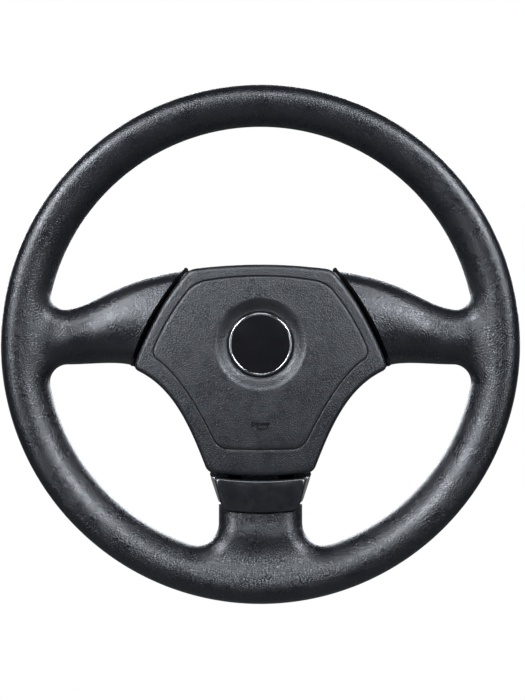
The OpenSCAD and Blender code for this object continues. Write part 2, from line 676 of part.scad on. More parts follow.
// Black strips that close the gaps beside the pad, on the ends of the side spokes
insert_gap = 1.3;
insert_seat = 0.2;
insert_back_z = 44.5;
insert_sink = 6.5;
tip_r = 1.5;
module spoke_inserts() {
  outer = [for (i = [0 : 10]) gap_at(i / 10, gap_w / 2 - insert_seat)];
  inner = [for (i = [10 : -1 : 0]) gap_at(i / 10, insert_gap - gap_w / 2)];
  tip = gap_at(-0.012, gap_w / 2 - insert_seat - tip_r);
  color(plastic_black) upright() both_sides() union() {
    translate([0, 0, insert_back_z])
      linear_extrude(spoke_face_z - insert_sink - insert_back_z) polygon(concat(outer, inner));
    translate([tip.x, tip.y, insert_back_z])
      cylinder(r = tip_r, h = spoke_face_z - insert_sink - insert_back_z + 2);
  }
}

// Lower trim: a tapered shell between the pad and the lower spoke, with a lip over the spoke
trim_top_y = pad_bottom_y - 3.4;
trim_bow = 2.4;
trim_steps = 4;
function trim_loop(w_top, w_low, y_top, y_low, r) =
  let (p = [[w_top, y_top], [w_low, y_low]])
  let (top = function(x) [x, y_top - trim_bow * (1 - pow(x / w_top, 2))])
  whole(concat([for (i = [0 : trim_steps - 1]) top((w_top - r) * i / trim_steps)],
    corner(top(w_top - r), p[0], mix(p[0], p[1], r / norm(p[1] - p[0])), 3),
    corner(mix(p[1], p[0], r / norm(p[1] - p[0])), p[1], p[1] - [r, 0], 3),
    [[0, y_low]]));
module trim_shell(less, z0, z1) {
  y1 = trim_top_y - less;
  y0 = low_cut_y + 0.5 + less;
  w1 = trim_w / 2 - less;
  w0 = low_spoke_w / 2 - less;
  back = trim_loop(w1, w0, y1, y0, 3);
  front = trim_loop(w1 - 3.8, w0 - 1.8, y1 - 0.6, y0, 3);
  face = trim_loop(w1 - 5, w0 - 3, y1 - 1.8, y0 + 0.6, 2.4);
  rows = [
    point_ring(back, z0), flat_ring(back, z0), flat_ring(front, z1 - 1.2),
    flat_ring(face, z1), [for (p = face) [0, mix(y1, y0, 0.5), z1]]];
  patched([[[for (ring = [for (i = [0 : 4]) i == 0 ? [for (p = back) [0, mix(y1, y0, 0.5), z0]]
    : rows[i]]) closed(ring)], false]]);
}
clip_gap = 0.4;
clip_t = 2.4;
clip_w = 6;
clip_nose = 2.2;
module trim_clips() {
  y = trim_top_y - 8;
  x = mix(arm_w, arm_tip_w, -y / ring_r) / 2 + clip_gap;
  under = arm_z(-y, low_rise_r) - arm_t / 2 - 3.2;
  both_sides() {
    translate([x, y - clip_w / 2, under - 2]) cube([clip_t, clip_w, trim_z - trim_t - under + 2.5]);
    translate([x - clip_nose, y - clip_w / 2, under - 2]) cube([clip_nose + 0.1, clip_w, 2]);
  }
}
module lower_trim() {
  z0 = rear_edge_z + seat_gap;
  color(plastic_black) upright() union() {
    difference() {
      union() {
        trim_shell(0, z0, trim_z);
        translate([0, 0, trim_z - lip_t]) linear_extrude(lip_t) difference() {
          lip_plan(0);
          translate([-50, low_cut_y + 3]) square([100, 60]);
        }
      }
      translate([0, 0, -1]) trim_shell(trim_t, z0, trim_z - trim_t + 1);
      rotate([0, 0, -90]) arm_slab(low_rise_r, 90, 130, 30, arm_t / 2 + 1, arm_w);
    }
    trim_clips();
  }
}

// Rear cover: a dished shell that follows the pad's outline, with a tongue behind the lower trim
rear_back_z = -4;
tongue_w = 27;
module rear_solid(less, lift) {
  intersection() {
    union() {
      translate([0, 0, -10]) linear_extrude(rear_edge_z + 10)
        polygon(inset(pad_loop, seam_loop, 1.2 + less));
      translate([less - tongue_w, low_cut_y + 0.6 + less, -10])
        cube([2 * (tongue_w - less), 30, rear_edge_z + 10 + less]);
    }
    rotate_extrude($fn = 96) polygon([[0, rear_back_z + lift],
      [horn_pcd_r + 8, rear_back_z + lift], [horn_pcd_r + 24, 0.5 + lift],
      [pad_side_x + 5.4, 14 + lift], [-low_cut_y + 1, 30 + lift],
      [-low_cut_y + 20, 36 + lift], [-low_cut_y + 20, 90], [0, 90]]);
  }
}
module rear_cover() {
  color(plastic_black) upright() difference() {
    union() {
      difference() {
        rear_solid(0, 0);
        rear_solid(rear_t, rear_t);
      }
      both_sides() for (p = cover_at)
        translate([p.x, p.y, rear_back_z + eps]) cylinder(r = 5, h = -rear_back_z - eps);
    }
    drum(cassette_r + rear_open_play, rear_back_z - 2, rear_back_z + 8);
    at_arms() arm_slab($r0, 60, 150, arm_t / 2 + 2.5, 60, arm_w + 4);
    ring_of(horn_pcd_r, pillar_angles)
      translate([0, 0, rear_back_z - 1]) cylinder(r = 5.6, h = 8);
    both_sides() for (p = cover_at)
      translate([p.x, p.y, rear_back_z - 1]) cylinder(r = small_screw_r + hole_play, h = 10);
  }
}
// A screw along z: its head lies behind z0, or before it where up is -1
module screw(head_r, head_h, r, length) {
  translate([0, 0, -head_h]) difference() {
    cylinder(r = head_r, h = head_h);
    translate([0, 0, -0.1]) cylinder(r = head_r * 0.45, h = head_h * 0.6, $fn = 6);
  }
  translate([0, 0, -eps]) cylinder(r = r, h = length + eps);
}
module rear_cover_screws() {
  color(steel) upright() both_sides() for (p = cover_at)
    translate([p.x, p.y, rear_back_z]) screw(3.6, 2.2, small_screw_r, web_t - rear_back_z);
}

// Contact plate on the pillars, cut flat under the pad's top edge, with a weld nut at each pillar
plate_top = contact_z + sheet_t;
module contact_plate() {
  nut_h = 4;
  color(yellow_zinc) upright() difference() {
    union() {
      intersection() {
        drum(horn_pcd_r + 5.4, contact_z, plate_top);
        translate([-80, -80, 0]) cube([160, 80 + pad_top_y - 7.2, 60]);
      }
      ring_of(horn_pcd_r, pillar_angles)
        translate([0, 0, plate_top - eps]) cylinder(r = 4.6, h = nut_h, $fn = 6);
    }
    drum(inflator_r + flange_w + 2.5, contact_z - 1, plate_top + 1);
    ring_of(horn_pcd_r, pillar_angles)
      translate([0, 0, contact_z - 1]) cylinder(r = screw_r + 0.1, h = nut_h + 4);
    ring_of(horn_pcd_r, guide_angles)
      translate([0, 0, contact_z - 1]) cylinder(r = sleeve_r + 0.1, h = 4);
  }
}
sleeve_r = guide_d / 2 + 1.4;
collar_t = 1.2;
collar_r = sleeve_r + 1.6;
module contact_insulators() {
  bore = guide_d / 2 + 0.15;
  color("#d8d4c6") upright() ring_of(horn_pcd_r, guide_angles) rotate_extrude()
    polygon([[bore, contact_z - collar_t], [collar_r, contact_z - collar_t], [collar_r, contact_z],
      [sleeve_r, contact_z], [sleeve_r, plate_top], [collar_r, plate_top],
      [collar_r, plate_top + collar_t], [bore, plate_top + collar_t]]);
}
module airbag_screws() {
  color(steel) upright() ring_of(horn_pcd_r, pillar_angles)
    screw(4.4, 3.4, screw_r, plate_top + 3.6);
}

// Horn springs: a helix of wire between an insulator's collar and the module's plate
spring_turns = 4.5;
wire_sides = 6;
turn_steps = 10;
module helix(r, wire_r, z0, z1, turns) {
  n = turns * turn_steps;
  rings = [for (i = [0 : n])
    let (a = 360 * i / turn_steps, z = mix(z0 + wire_r, z1 - wire_r, i / n))
    [for (k = [0 : wire_sides])
      let (b = 360 * (k % wire_sides) / wire_sides, q = r + wire_r * cos(b))
      [q * cos(a), q * sin(a), z + wire_r * sin(b)]]];
  cap = function(i)
    let (a = 360 * i / turn_steps, z = mix(z0 + wire_r, z1 - wire_r, i / n))
    [for (k = [0 : wire_sides]) [r * cos(a), r * sin(a), z]];
  patched([[concat([cap(0)], rings, [cap(n)]), false]]);
}
module horn_springs() {
  color(steel) upright() ring_of(horn_pcd_r, guide_angles)
    helix(guide_d / 2 + 1.6, spring_wire / 2, plate_top + collar_t + 0.05, module_z - 0.05,
      spring_turns);
}

// Module's plate: follows the pad inside the skirt
module_top = module_z + sheet_t;
stud_pcd_r = inflator_r + flange_w / 2;
inflator_studs = [45, 135, 225, 315];
flange_t = 2;
module module_plate() {
  color(yellow_zinc) upright() difference() {
    translate([0, 0, module_z]) linear_extrude(sheet_t)
      polygon(inset(pad_loop, seam_loop, cover_t + skirt_draft + 0.6));
    drum(inflator_r + 0.4, module_z - 1, module_top + 1);
    ring_of(stud_pcd_r, inflator_studs)
      translate([0, 0, module_z - 1]) cylinder(r = screw_r + hole_play, h = sheet_t + 2);
    ring_of(horn_pcd_r, guide_angles)
      translate([0, 0, module_z - 1]) cylinder(r = guide_d / 2 - 0.4, h = sheet_t + 2);
    boss_points() translate([0, 0, module_z - 1])
      cylinder(r = cover_screw_r + hole_play, h = sheet_t + 2);
  }
}
cover_screw_bite = 8;
module cover_screws() {
  color(steel) upright() boss_points() translate([0, 0, module_z])
    screw(2 * cover_screw_r, 2.2, cover_screw_r, sheet_t + cover_screw_bite);
}
// Guide bolts: riveted to the module's plate, they slide in the insulators
module guide_bolts() {
  head_z = contact_z - collar_t - seat_gap;
  neck_r = guide_d / 2 - 0.5;
  color(steel) upright() ring_of(horn_pcd_r, guide_angles) rotate_extrude()
    polygon([[0, head_z - 2.6], [3.6, head_z - 2.6], [4.4, head_z - 1.8], [4.4, head_z],
      [guide_d / 2, head_z], [guide_d / 2, module_z], [neck_r, module_z], [neck_r, module_top],
      [neck_r + 1.2, module_top], [neck_r + 0.8, module_top + 0.9], [0, module_top + 0.9]]);
}
module contact_studs() {
  z0 = plate_top + horn_travel + 0.2;
  color("#c89a4a") upright() ring_of(horn_pcd_r, stud_angles) rotate_extrude()
    polygon([[0, z0], [1.4, z0], [2.2, z0 + 0.8], [2.2, module_z - 1.5], [3.4, module_z - 1.5],
      [3.4, module_z], [0, module_z]]);
}

inflator_back = module_z - flange_t - inflator_h * 0.58;
module inflator() {
  top = inflator_back + inflator_h;
  r = inflator_r;
  f = r + flange_w;
  color("#8f9297") upright() difference() {
    rotate_extrude(convexity = 4) polygon([[0, inflator_back], [r - 4, inflator_back],
      [r - 1.2, inflator_back + 1.2], [r, inflator_back + 4], [r, module_z - flange_t],
      [f, module_z - flange_t], [f, module_z], [r, module_z], [r, top - 4], [r - 1.2, top - 1.2],
      [r - 4, top], [0, top]]);
    translate([0, 0, inflator_back - 1]) cylinder(r = 5.5, h = 7);
    ring_of(stud_pcd_r, inflator_studs)
      translate([0, 0, module_z - flange_t - 1]) cylinder(r = screw_r + hole_play, h = flange_t + 2);
  }
}
module inflator_nuts() {
  color(steel) upright() ring_of(stud_pcd_r, inflator_studs)
    translate([0, 0, module_z - flange_t - 4]) difference() {
      cylinder(r = 4.4, h = 4, $fn = 6);
      translate([0, 0, -1]) cylinder(r = screw_r + 0.1, h = 6);
    }
}
fabric_t = 0.8;
module retaining_ring() {
  z0 = module_top + fabric_t;
  color(yellow_zinc) upright() union() {
    drum(inflator_r + flange_w + 2, z0, z0 + sheet_t, inflator_r + 1);
    ring_of(stud_pcd_r, inflator_studs)
      translate([0, 0, module_z - flange_t - 5.5])
        cylinder(r = screw_r, h = z0 + eps - module_z + flange_t + 5.5);
  }
}
// The folded cushion: a packed block of folds over the plate, hollow over the inflator
module airbag_cushion() {
  room_r = inflator_r + flange_w + 3;
  top = seat_z - cover_t - 0.9;
  folds = 4;
  fold_h = (top - module_top) / folds;
  color("#d9d9d2") upright() difference() {
    union() for (i = [0 : folds - 1])
      translate([0, 0, module_top + i * fold_h]) linear_extrude(fold_h)
        polygon(inset(pad_loop, seam_loop, 11 + i % 2));
    drum(room_r, module_top + fabric_t, inflator_back + inflator_h + 1);
    drum(inflator_r + 0.6, module_top - 1, module_top + 2);
    ring_of(stud_pcd_r, inflator_studs)
      translate([0, 0, module_top - 1]) cylinder(r = screw_r + 0.1, h = 3);
    boss_points() translate([0, 0, module_top - 1]) cylinder(r = boss_r + 0.6, h = 30);
    ring_of(horn_pcd_r, guide_angles)
      translate([0, 0, module_top - 1]) cylinder(r = guide_d / 2 + 1.2, h = 2.4);
  }
}

// Contact cassette: a rotor on the casting, a housing that the column holds still, and between
// them the wound flat cable
rotor_t = 2;
rotor_post = 8;
sleeve_in = boss_d / 2 + 1.5;
sleeve_out = sleeve_in + 1.8;
cassette_back = -rotor_t - cassette_deep + 2;
module cassette_rotor() {
  color("#dcdcd6") upright() difference() {
    union() {
      rotate_extrude() polygon([[sleeve_in, 0], [cassette_r + 0.8, 0], [cassette_r + 0.8, -rotor_t],
        [sleeve_out, -rotor_t], [sleeve_out, cassette_back - 0.4],
        [sleeve_out + 1.1, cassette_back - 0.4], [sleeve_out + 0.5, cassette_back - 1.8],
        [sleeve_in, cassette_back - 1.8]]);
      ring_of(rotor_screw_r, rotor_screw_angles)
        translate([0, 0, -rotor_post]) cylinder(r = 3.2, h = rotor_post - rotor_t + eps);
    }
    ring_of(rotor_screw_r, rotor_screw_angles)
      translate([0, 0, 1 - rotor_post]) cylinder(r = small_screw_r + 0.05, h = rotor_post);
  }
}
module cassette_screws() {
  color(steel) upright() ring_of(rotor_screw_r, rotor_screw_angles)
    translate([0, 0, web_t]) mirror([0, 0, 1]) screw(3.2, 2.2, small_screw_r, web_t + 6);
}
module cassette_housing() {
  wall = 1.8;
  r0 = sleeve_out + 0.4;
  back = cassette_back;
  plug_y = -(cassette_r + sleeve_out) / 2;
  color(plastic_black) upright() difference() {
    union() {
      rotate_extrude() polygon([[r0, back], [cassette_r, back], [cassette_r, -rotor_t - 0.4],
        [cassette_r - wall, -rotor_t - 0.4], [cassette_r - wall, back + wall], [r0, back + wall]]);
      translate([-8, plug_y - 4.5, back - 6]) cube([16, 9, 6 + eps]);
      translate([0, -plug_y, back - 7]) cylinder(r = 2.6, h = 7 + eps);
    }
    translate([-6.5, plug_y - 3, back - 7]) cube([13, 6, 6]);
  }
}
// The flat cable is a spiral strip
cable_t = 0.5;
module cassette_ribbon() {
  r0 = rotor_screw_r + 4.5;
  r1 = cassette_r - 3.5;
  n = cable_turns * 24;
  spiral = function(off) [for (i = [0 : n]) polar(mix(r0, r1, i / n) + off, 15 * i)];
  color("#c8c2ae") upright() translate([0, 0, cassette_back + 2.4])
    linear_extrude(-rotor_t - 0.5 - cassette_back - 2.4)
      polygon(concat(spiral(0), reversed(spiral(cable_t))));
}

grip();
rim_ring();
armature();
hub_bush();
spoke_inserts();
lower_trim();
rear_cover();
rear_cover_screws();
contact_plate();
contact_insulators();
airbag_screws();
horn_springs();
pad_cover();
badge_bezel();
badge_disc();
cover_screws();
module_plate();
guide_bolts();
contact_studs();
inflator();
inflator_nuts();
retaining_ring();
airbag_cushion();
cassette_rotor();
cassette_screws();
cassette_ribbon();
cassette_housing();
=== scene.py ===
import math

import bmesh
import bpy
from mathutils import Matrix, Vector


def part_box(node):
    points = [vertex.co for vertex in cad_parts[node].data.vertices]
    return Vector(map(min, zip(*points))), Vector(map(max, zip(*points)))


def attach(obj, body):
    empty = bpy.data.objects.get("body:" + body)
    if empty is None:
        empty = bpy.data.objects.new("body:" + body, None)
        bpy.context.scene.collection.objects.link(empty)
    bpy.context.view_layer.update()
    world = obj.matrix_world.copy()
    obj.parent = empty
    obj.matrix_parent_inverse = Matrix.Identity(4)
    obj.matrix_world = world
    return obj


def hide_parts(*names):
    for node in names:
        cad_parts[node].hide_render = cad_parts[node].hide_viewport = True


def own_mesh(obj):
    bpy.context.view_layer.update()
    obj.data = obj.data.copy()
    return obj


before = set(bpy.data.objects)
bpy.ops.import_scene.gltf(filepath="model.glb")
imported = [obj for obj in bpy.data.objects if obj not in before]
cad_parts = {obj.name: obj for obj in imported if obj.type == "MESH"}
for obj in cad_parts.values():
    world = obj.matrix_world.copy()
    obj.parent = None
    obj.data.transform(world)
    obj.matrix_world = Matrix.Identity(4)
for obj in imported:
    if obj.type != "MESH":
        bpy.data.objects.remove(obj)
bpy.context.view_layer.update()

# Looks of a three-spoke car steering wheel: the moulded skins, the trim, the folded cushion, the
# springs, the finishes, the light and the camera. Lengths in the plan of the wheel are
# millimetres, as on its drawing: x to the right, y to twelve o'clock, z towards the driver.

MM = 0.001

# Rim: the circle inside it lies RIM_BIAS above the wheel's centre, and RIM_LEAN is the slope of
# its oval section
RIM_R = 192.5
RIM_W = 32.7
RIM_DEPTH = 33.0
RIM_BIAS = 2.1
RIM_Z = 62.0
RIM_LEAN = 0.35

# Spokes
SPOKE_TOP_Y = 26.2
SPOKE_BOTTOM_Y = -15.0
TOP_FILLET = 10.0
BOTTOM_FILLET = 13.0
LOW_SPOKE_W = 62.2
LOW_FILLET = 16.5
SPOKE_ROUND = 13.0
SPOKE_FACE_Z = 67.5
SPOKE_BACK_DROP = 20.0
SPOKE_TILT = 15.0
SPOKE_UNDER_TILT = math.degrees(math.atan(2 * math.tan(math.radians(SPOKE_TILT))))
LOW_TILT = 7.0

# Pad
PAD_TOP_Y = 59.2
PAD_B = Vector((53.3, PAD_TOP_Y - 3.6))
PAD_D = Vector((94.6, -18.2))
PAD_E = Vector((39.3, -95.0))
PAD_BOTTOM_SAG = 2.8
PAD_Z = 73.0
PAD_CROWN = 4.6
PAD_EDGE_R = 3.6
COVER_T = 3.0
SKIRT_Z = 45.0
SKIRT_DRAFT = 0.8
GAP_W = 3.3
GAP_BOW = 4.4
SEAM_W = 1.5
SEAM_DEEP = 0.9
SEAM_INSET = 8.6
BADGE_R = 24.4
RECESS_R = 33.0
RECESS_DEEP = 4.6
SEAT_Z = PAD_Z - RECESS_DEEP - 2.0

# Lower trim's lip over the lower spoke. Its cutter runs up under the trim by LIP_LONG, and
# above the lip's seat by LIP_CUT_UP.
LIP_W = 28.0
LIP_DROP = 6.2
LIP_BOW = 2.2
LIP_CORNER = 5.0
LIP_STEPS = 10
LIP_T = 3.2
LIP_PLAY = 0.3
LIP_LONG = 30.0
LIP_CUT_UP = 20.0
TRIM_Z = 67.0
LOW_CUT_Y = PAD_E.y - 24.4

# Horn springs
SPRING_AT = (52, 128, -38, -142)
SPRING_PCD_R = 58.0
SPRING_R = 4.1
SPRING_WIRE_R = 0.45
SPRING_TURNS = 4.5
SPRING_STEPS = 28
WIRE_SIDES = 12

INNER_R = RIM_R - RIM_W
RING_R = (RIM_R + INNER_R) / 2
RIM_HALF = math.sqrt((RIM_DEPTH / 2) ** 2 - (RIM_LEAN * RIM_W / 2) ** 2)


# Small sums in the plan

def mix(a, b, u):
    return a + (b - a) * u


def ease(u):
    v = min(max(u, 0.0), 1.0)
    return v * v * (3 - 2 * v)


def polar(r, degrees):
    a = math.radians(degrees)
    return Vector((r * math.cos(a), r * math.sin(a)))


def angle_of(p):
    return math.degrees(math.atan2(p.y, p.x))


def left_of(d):
    return Vector((-d.y, d.x))


def bezier(p, u):
    a, b, c = mix(p[0], p[1], u), mix(p[1], p[2], u), mix(p[2], p[3], u)
    return mix(mix(a, b, u), mix(b, c, u), u)


def bezier_dir(p, u):
    ahead = (p[1] - p[0]) * (1 - u) ** 2 + (p[2] - p[1]) * 2 * u * (1 - u) + (p[3] - p[2]) * u * u
    return ahead.normalized()


def corner(a, p, b, steps):
    shares = [i / steps for i in range(steps + 1)]
    return [mix(mix(a, p, u), mix(p, b, u), u) for u in shares]


def wave(degrees):
    a = math.radians(degrees)
    return math.cos(a), math.sin(a)


# Meshes

# Edges that turn by more than this stay sharp in the shading, in degrees
SHARP_DEG = 40

# After a cut, points closer than this are joined, in millimetres
SLIVER = 0.03


def weld(patches):
    """Points and faces of patches joined where they meet. A patch is its rows of points, and
    whether its faces are turned over."""
    index, points, faces = {}, [], []

    def number(p):
        key = tuple(round(c, 4) for c in p)
        if key not in index:
            index[key] = len(points)
            points.append(p)
        return index[key]

    for rows, turned in patches:
        ids = [[number(p) for p in row] for row in rows]
        for low, high in zip(ids, ids[1:]):
            for k in range(len(low) - 1):
                ring = [low[k], low[k + 1], high[k + 1], high[k]]
                face = [v for i, v in enumerate(ring) if v != ring[i - 1]]
                if len(set(face)) > 2:
                    faces.append(face[::-1] if turned else face)
    return points, faces


def upright(p):
    """A plan point in millimetres, as a point of the wheel's own frame in metres."""
    return (p[0] * MM, -p[2] * MM, p[1] * MM)


def new_piece(name, points, faces, smooth_deg=SHARP_DEG):
    mesh = bpy.data.meshes.new(name)
    mesh.from_pydata([upright(p) for p in points], [], faces)
    mesh.validate()
    piece = bpy.data.objects.new(name, mesh)
    bpy.context.scene.collection.objects.link(piece)
    smooth(piece, smooth_deg)
    return piece


def smooth(piece, degrees):
    for face in piece.data.polygons:
        face.use_smooth = True
    piece.data.set_sharp_from_angle(angle=math.radians(degrees))


def level(loop, z):
    return [(p.x, p.y, z) for p in loop]


def whole(half):
    """An outline from its right half, which starts and ends on the middle line."""
    return half + [Vector((-p.x, p.y)) for p in half[-2:0:-1]]


def closed(rings):
    """Each ring comes back to its first point."""
    return [ring + [ring[0]] for ring in rings]


def quarter(steps):
    """Points of an edge's quarter round, as shares of its radius: how far in, how far down."""
    turns = [wave(90 * i / steps) for i in range(steps + 1)]
    return [(1 - c, 1 - s) for c, s in turns]


def prism(plan, z0, z1):
    """A closed prism over a plan outline that runs anticlockwise."""
    n = len(plan)
    points = [(x, y, z0) for x, y in plan] + [(x, y, z1) for x, y in plan]
    sides = [[k, (k + 1) % n, n + (k + 1) % n, n + k] for k in range(n)]
    return points, sides + [list(range(n))[::-1], list(range(n, 2 * n))]


def with_prisms(points, faces, plan, heights):
    """A mesh's points and faces, with a prism over a plan outline and its mirror image added."""
    for outline in (plan, [(-x, y) for x, y in plan[::-1]]):
        more, sides = prism(outline, *heights)
        faces = faces + [[k + len(points) for k in side] for side in sides]
        points = points + more
    return points, faces


def cut(piece, cutter):
    """Takes the cutter out of the piece, and removes the cutter."""
    step = piece.modifiers.new("cut", "BOOLEAN")
    step.operation, step.solver, step.object = "DIFFERENCE", "EXACT", cutter
    step.use_self = True
    graph = bpy.context.evaluated_depsgraph_get()
    made = bpy.data.meshes.new_from_object(piece.evaluated_get(graph))
    piece.modifiers.clear()
    piece.data = made
    bpy.data.objects.remove(cutter)
    form = bmesh.new()
    form.from_mesh(made)
    bmesh.ops.remove_doubles(form, verts=form.verts, dist=SLIVER * MM)
    bmesh.ops.dissolve_degenerate(form, edges=form.edges, dist=SLIVER * MM)
    form.to_mesh(made)
    form.free()
    smooth(piece, SHARP_DEG)


# The grip: one moulded skin over the rim and the three spokes. It is made of stations along the
# windows' edges and of rows over the spokes. A crest is the line where the rounding from an
# edge ends: the middle of the rim, and SPOKE_ROUND inside a spoke's edge.

# Steps of the skin, all of them finer by one factor
FINE = 4
FILLET_STEPS = 4 * FINE
EDGE_STEPS = 8 * FINE
LOW_STEPS = 3 * FINE
ROUND_STEPS = 4 * FINE
ACROSS_STEPS = 8 * FINE
RIM_STEP = 5 / FINE

# Radii where a spoke's front and back have come to their own levels, and how far inside the
# rim's crest the lean starts and ends to fade
SADDLE_END_R = 124.0
BACK_END_R = 80.0
LEAN_FADE = (8.0, 36.0)

# The gap's ends as shares of the pad's side edge, and the crests' ends as shares of the gap
GAP_RANGE = (0.025, 0.985)
TOP_SHARE = 0.155
BOTTOM_SHARE = 0.87
GAP_OUT = left_of(PAD_D - PAD_B).normalized()

# Handles of the curves along a side spoke's edges: from its fillet, and from the gap
TOP_HANDLES = (Vector((-22, 0.8)), polar(55, -7.5))
BOTTOM_HANDLES = (Vector((-16, 0)), polar(12, 14))


def gap_at(u, off):
    """A point of the gap beside the pad, from its top down: off is how far outside its middle."""
    v = mix(*GAP_RANGE, u)
    return mix(PAD_B, PAD_D, v) + GAP_OUT * (GAP_BOW * 4 * v * (1 - v) + GAP_W / 2 + off)


def inner_at(a):
    """How far the rim's inner edge is from the centre, at an angle in degrees."""
    c, s = wave(a)
    return RIM_BIAS * s + math.sqrt(INNER_R ** 2 - (RIM_BIAS * c) ** 2)


def crest_at(a):
    """How far the rim's crest is from the centre."""
    return (RIM_R + inner_at(a)) / 2


def fall_at(r, r_end):
    """Share of the change from the rim's level to a spoke's own level, which is whole at r_end."""
    return ease((RING_R - r) / (RING_R - r_end))


def lean_at(p):
    """The rim's oval section leans: its outer side is further forward than its inner side."""
    inside = crest_at(angle_of(p)) - p.length
    return -RIM_LEAN * inside * (1 - ease((inside - LEAN_FADE[0]) / (LEAN_FADE[1] - LEAN_FADE[0])))


def skin_z(p, side, bulge, level_at=None):
    """Level of the skin at p: side 1 is the front, bulge is 1 at a crest and 0 at an edge.
    level_at is the point whose front and back levels count, where that isn't p."""
    r = (level_at or p).length
    front = mix(RIM_Z + RIM_HALF, SPOKE_FACE_Z, fall_at(r, SADDLE_END_R))
    back = RIM_Z - RIM_HALF - SPOKE_BACK_DROP * fall_at(r, BACK_END_R)
    return (front + back) / 2 + side * bulge * (front - back) / 2 + lean_at(p)


def fillet_centre(r, edge_y):
    return Vector((math.sqrt((INNER_R - r) ** 2 - (edge_y - RIM_BIAS) ** 2), edge_y))


def tangent_angle(c):
    return math.degrees(math.atan2(c.y - RIM_BIAS, c.x))


def fillet_stations(c, r, a0, a1):
    """A station is the edge's point, the way into the grip, the rounding's width, the share of
    the local level and, once crowned, the front's slope at the rounding's end."""
    stations = []
    for i in range(FILLET_STEPS + 1):
        u = i / FILLET_STEPS
        way = polar(1, mix(a0, a1, u))
        edge = c + r * way
        a = angle_of(edge)
        tube = crest_at(a) - inner_at(a)
        stations.append((edge, way, mix(tube, SPOKE_ROUND, ease(u)), ease(u)))
    return stations


def edge_stations(curve, steps, side, cut_crest):
    """Stations along an edge's curve. The way into the grip turns to end at cut_crest."""
    lean = (cut_crest - curve[3]) / SPOKE_ROUND
    stations = []
    for i in range(1, steps + 1):
        u = i / steps
        square = side * left_of(bezier_dir(curve, u))
        stations.append((bezier(curve, u), mix(square, lean, u ** 3), SPOKE_ROUND, 1.0))
    return stations


def crown_slope(tilt, row_u):
    """It grows from the rim on, along the first half of a spoke's rows."""
    return math.tan(math.radians(tilt)) * ease(2 * row_u)


def crown_share(u):
    """A side spoke's crown over its width, from top to bottom. At its lower end it is twice as
    steep as at its upper end."""
    return u - u ** 3


def crowned(branch, tilt):
    n = len(branch) - 1
    return [(*station, crown_slope(tilt, k / n)) for k, station in enumerate(branch)]


def crest_of(station):
    return station[0] + station[2] * station[1]


def rim_stations(a0, a1):
    n = max(round(abs(a1 - a0) / RIM_STEP), 1)
    angles = [mix(a0, a1, i / n) for i in range(n + 1)]
    return [(polar(inner_at(a), a), polar(1, a), crest_at(a) - inner_at(a), 0.0, 0.0)
            for a in angles]


def strip_row(station, side):
    """The rounding from the crest down to a window's edge."""
    crest, row = crest_of(station), []
    for k in range(ROUND_STEPS + 1):
        c, s = wave(90 * k / ROUND_STEPS)
        p = mix(crest, station[0], s)
        fall = station[4] * station[2] * s * c if side > 0 else 0.0
        row.append((p.x, p.y, skin_z(p, side, c, mix(crest, p, station[3])) - fall))
    return row


def outer_row(crest, side):
    """The rounding from the crest out to the wheel's outside."""
    row = []
    for k in range(ROUND_STEPS + 1):
        c, s = wave(90 * k / ROUND_STEPS)
        p = mix(crest, RIM_R * crest.normalized(), s)
        row.append((p.x, p.y, skin_z(p, side, c, crest)))
    return row


def across(c0, c1, u, row_u):
    """A point of a row over a spoke: along the rim's crest at its root, then straighter."""
    if u in (0, 1):
        return c1.copy() if u else c0.copy()
    a0, a1 = angle_of(c0), angle_of(c1)
    a = mix(a0, a1, u)
    reach = mix(c0.length / crest_at(a0), c1.length / crest_at(a1), u)
    return mix(mix(c0, c1, u), polar(reach * crest_at(a), a), (1 - row_u) ** 2)


def side_branches():
    """Stations along a side spoke's top edge and its bottom edge, from the rim to the gap."""
    top_c = fillet_centre(TOP_FILLET, SPOKE_TOP_Y + TOP_FILLET)
    p, q = top_c - Vector((0, TOP_FILLET)), gap_at(0, GAP_W / 2)
    top_edge = [p, p + TOP_HANDLES[0], q + TOP_HANDLES[1], q]
    top = fillet_stations(top_c, TOP_FILLET, tangent_angle(top_c), -90)
    top += edge_stations(top_edge, EDGE_STEPS, 1, gap_at(TOP_SHARE, GAP_W / 2))

    bottom_c = fillet_centre(BOTTOM_FILLET, SPOKE_BOTTOM_Y - BOTTOM_FILLET)
    p, q = bottom_c + Vector((0, BOTTOM_FILLET)), gap_at(1, GAP_W / 2)
    bottom_edge = [p, p + BOTTOM_HANDLES[0], q + BOTTOM_HANDLES[1], q]
    bottom = fillet_stations(bottom_c, BOTTOM_FILLET, tangent_angle(bottom_c), 90)
    bottom += edge_stations(bottom_edge, EDGE_STEPS, -1, gap_at(BOTTOM_SHARE, GAP_W / 2))
    return crowned(top, SPOKE_TILT), crowned(bottom, SPOKE_UNDER_TILT)


def low_branch():
    """Stations along the lower spoke's right edge, from the rim to the trim."""
    x = LOW_SPOKE_W / 2 + LOW_FILLET
    c = Vector((x, RIM_BIAS - math.sqrt((INNER_R - LOW_FILLET) ** 2 - x ** 2)))
    p, q = c - Vector((LOW_FILLET, 0)), Vector((LOW_SPOKE_W / 2, LOW_CUT_Y))
    edge = [mix(p, q, i / 3) for i in range(4)]
    low = fillet_stations(c, LOW_FILLET, tangent_angle(c), -180)
    low += edge_stations(edge, LOW_STEPS, 1, edge[3] - Vector((SPOKE_ROUND, 0)))
    return crowned(low, LOW_TILT)


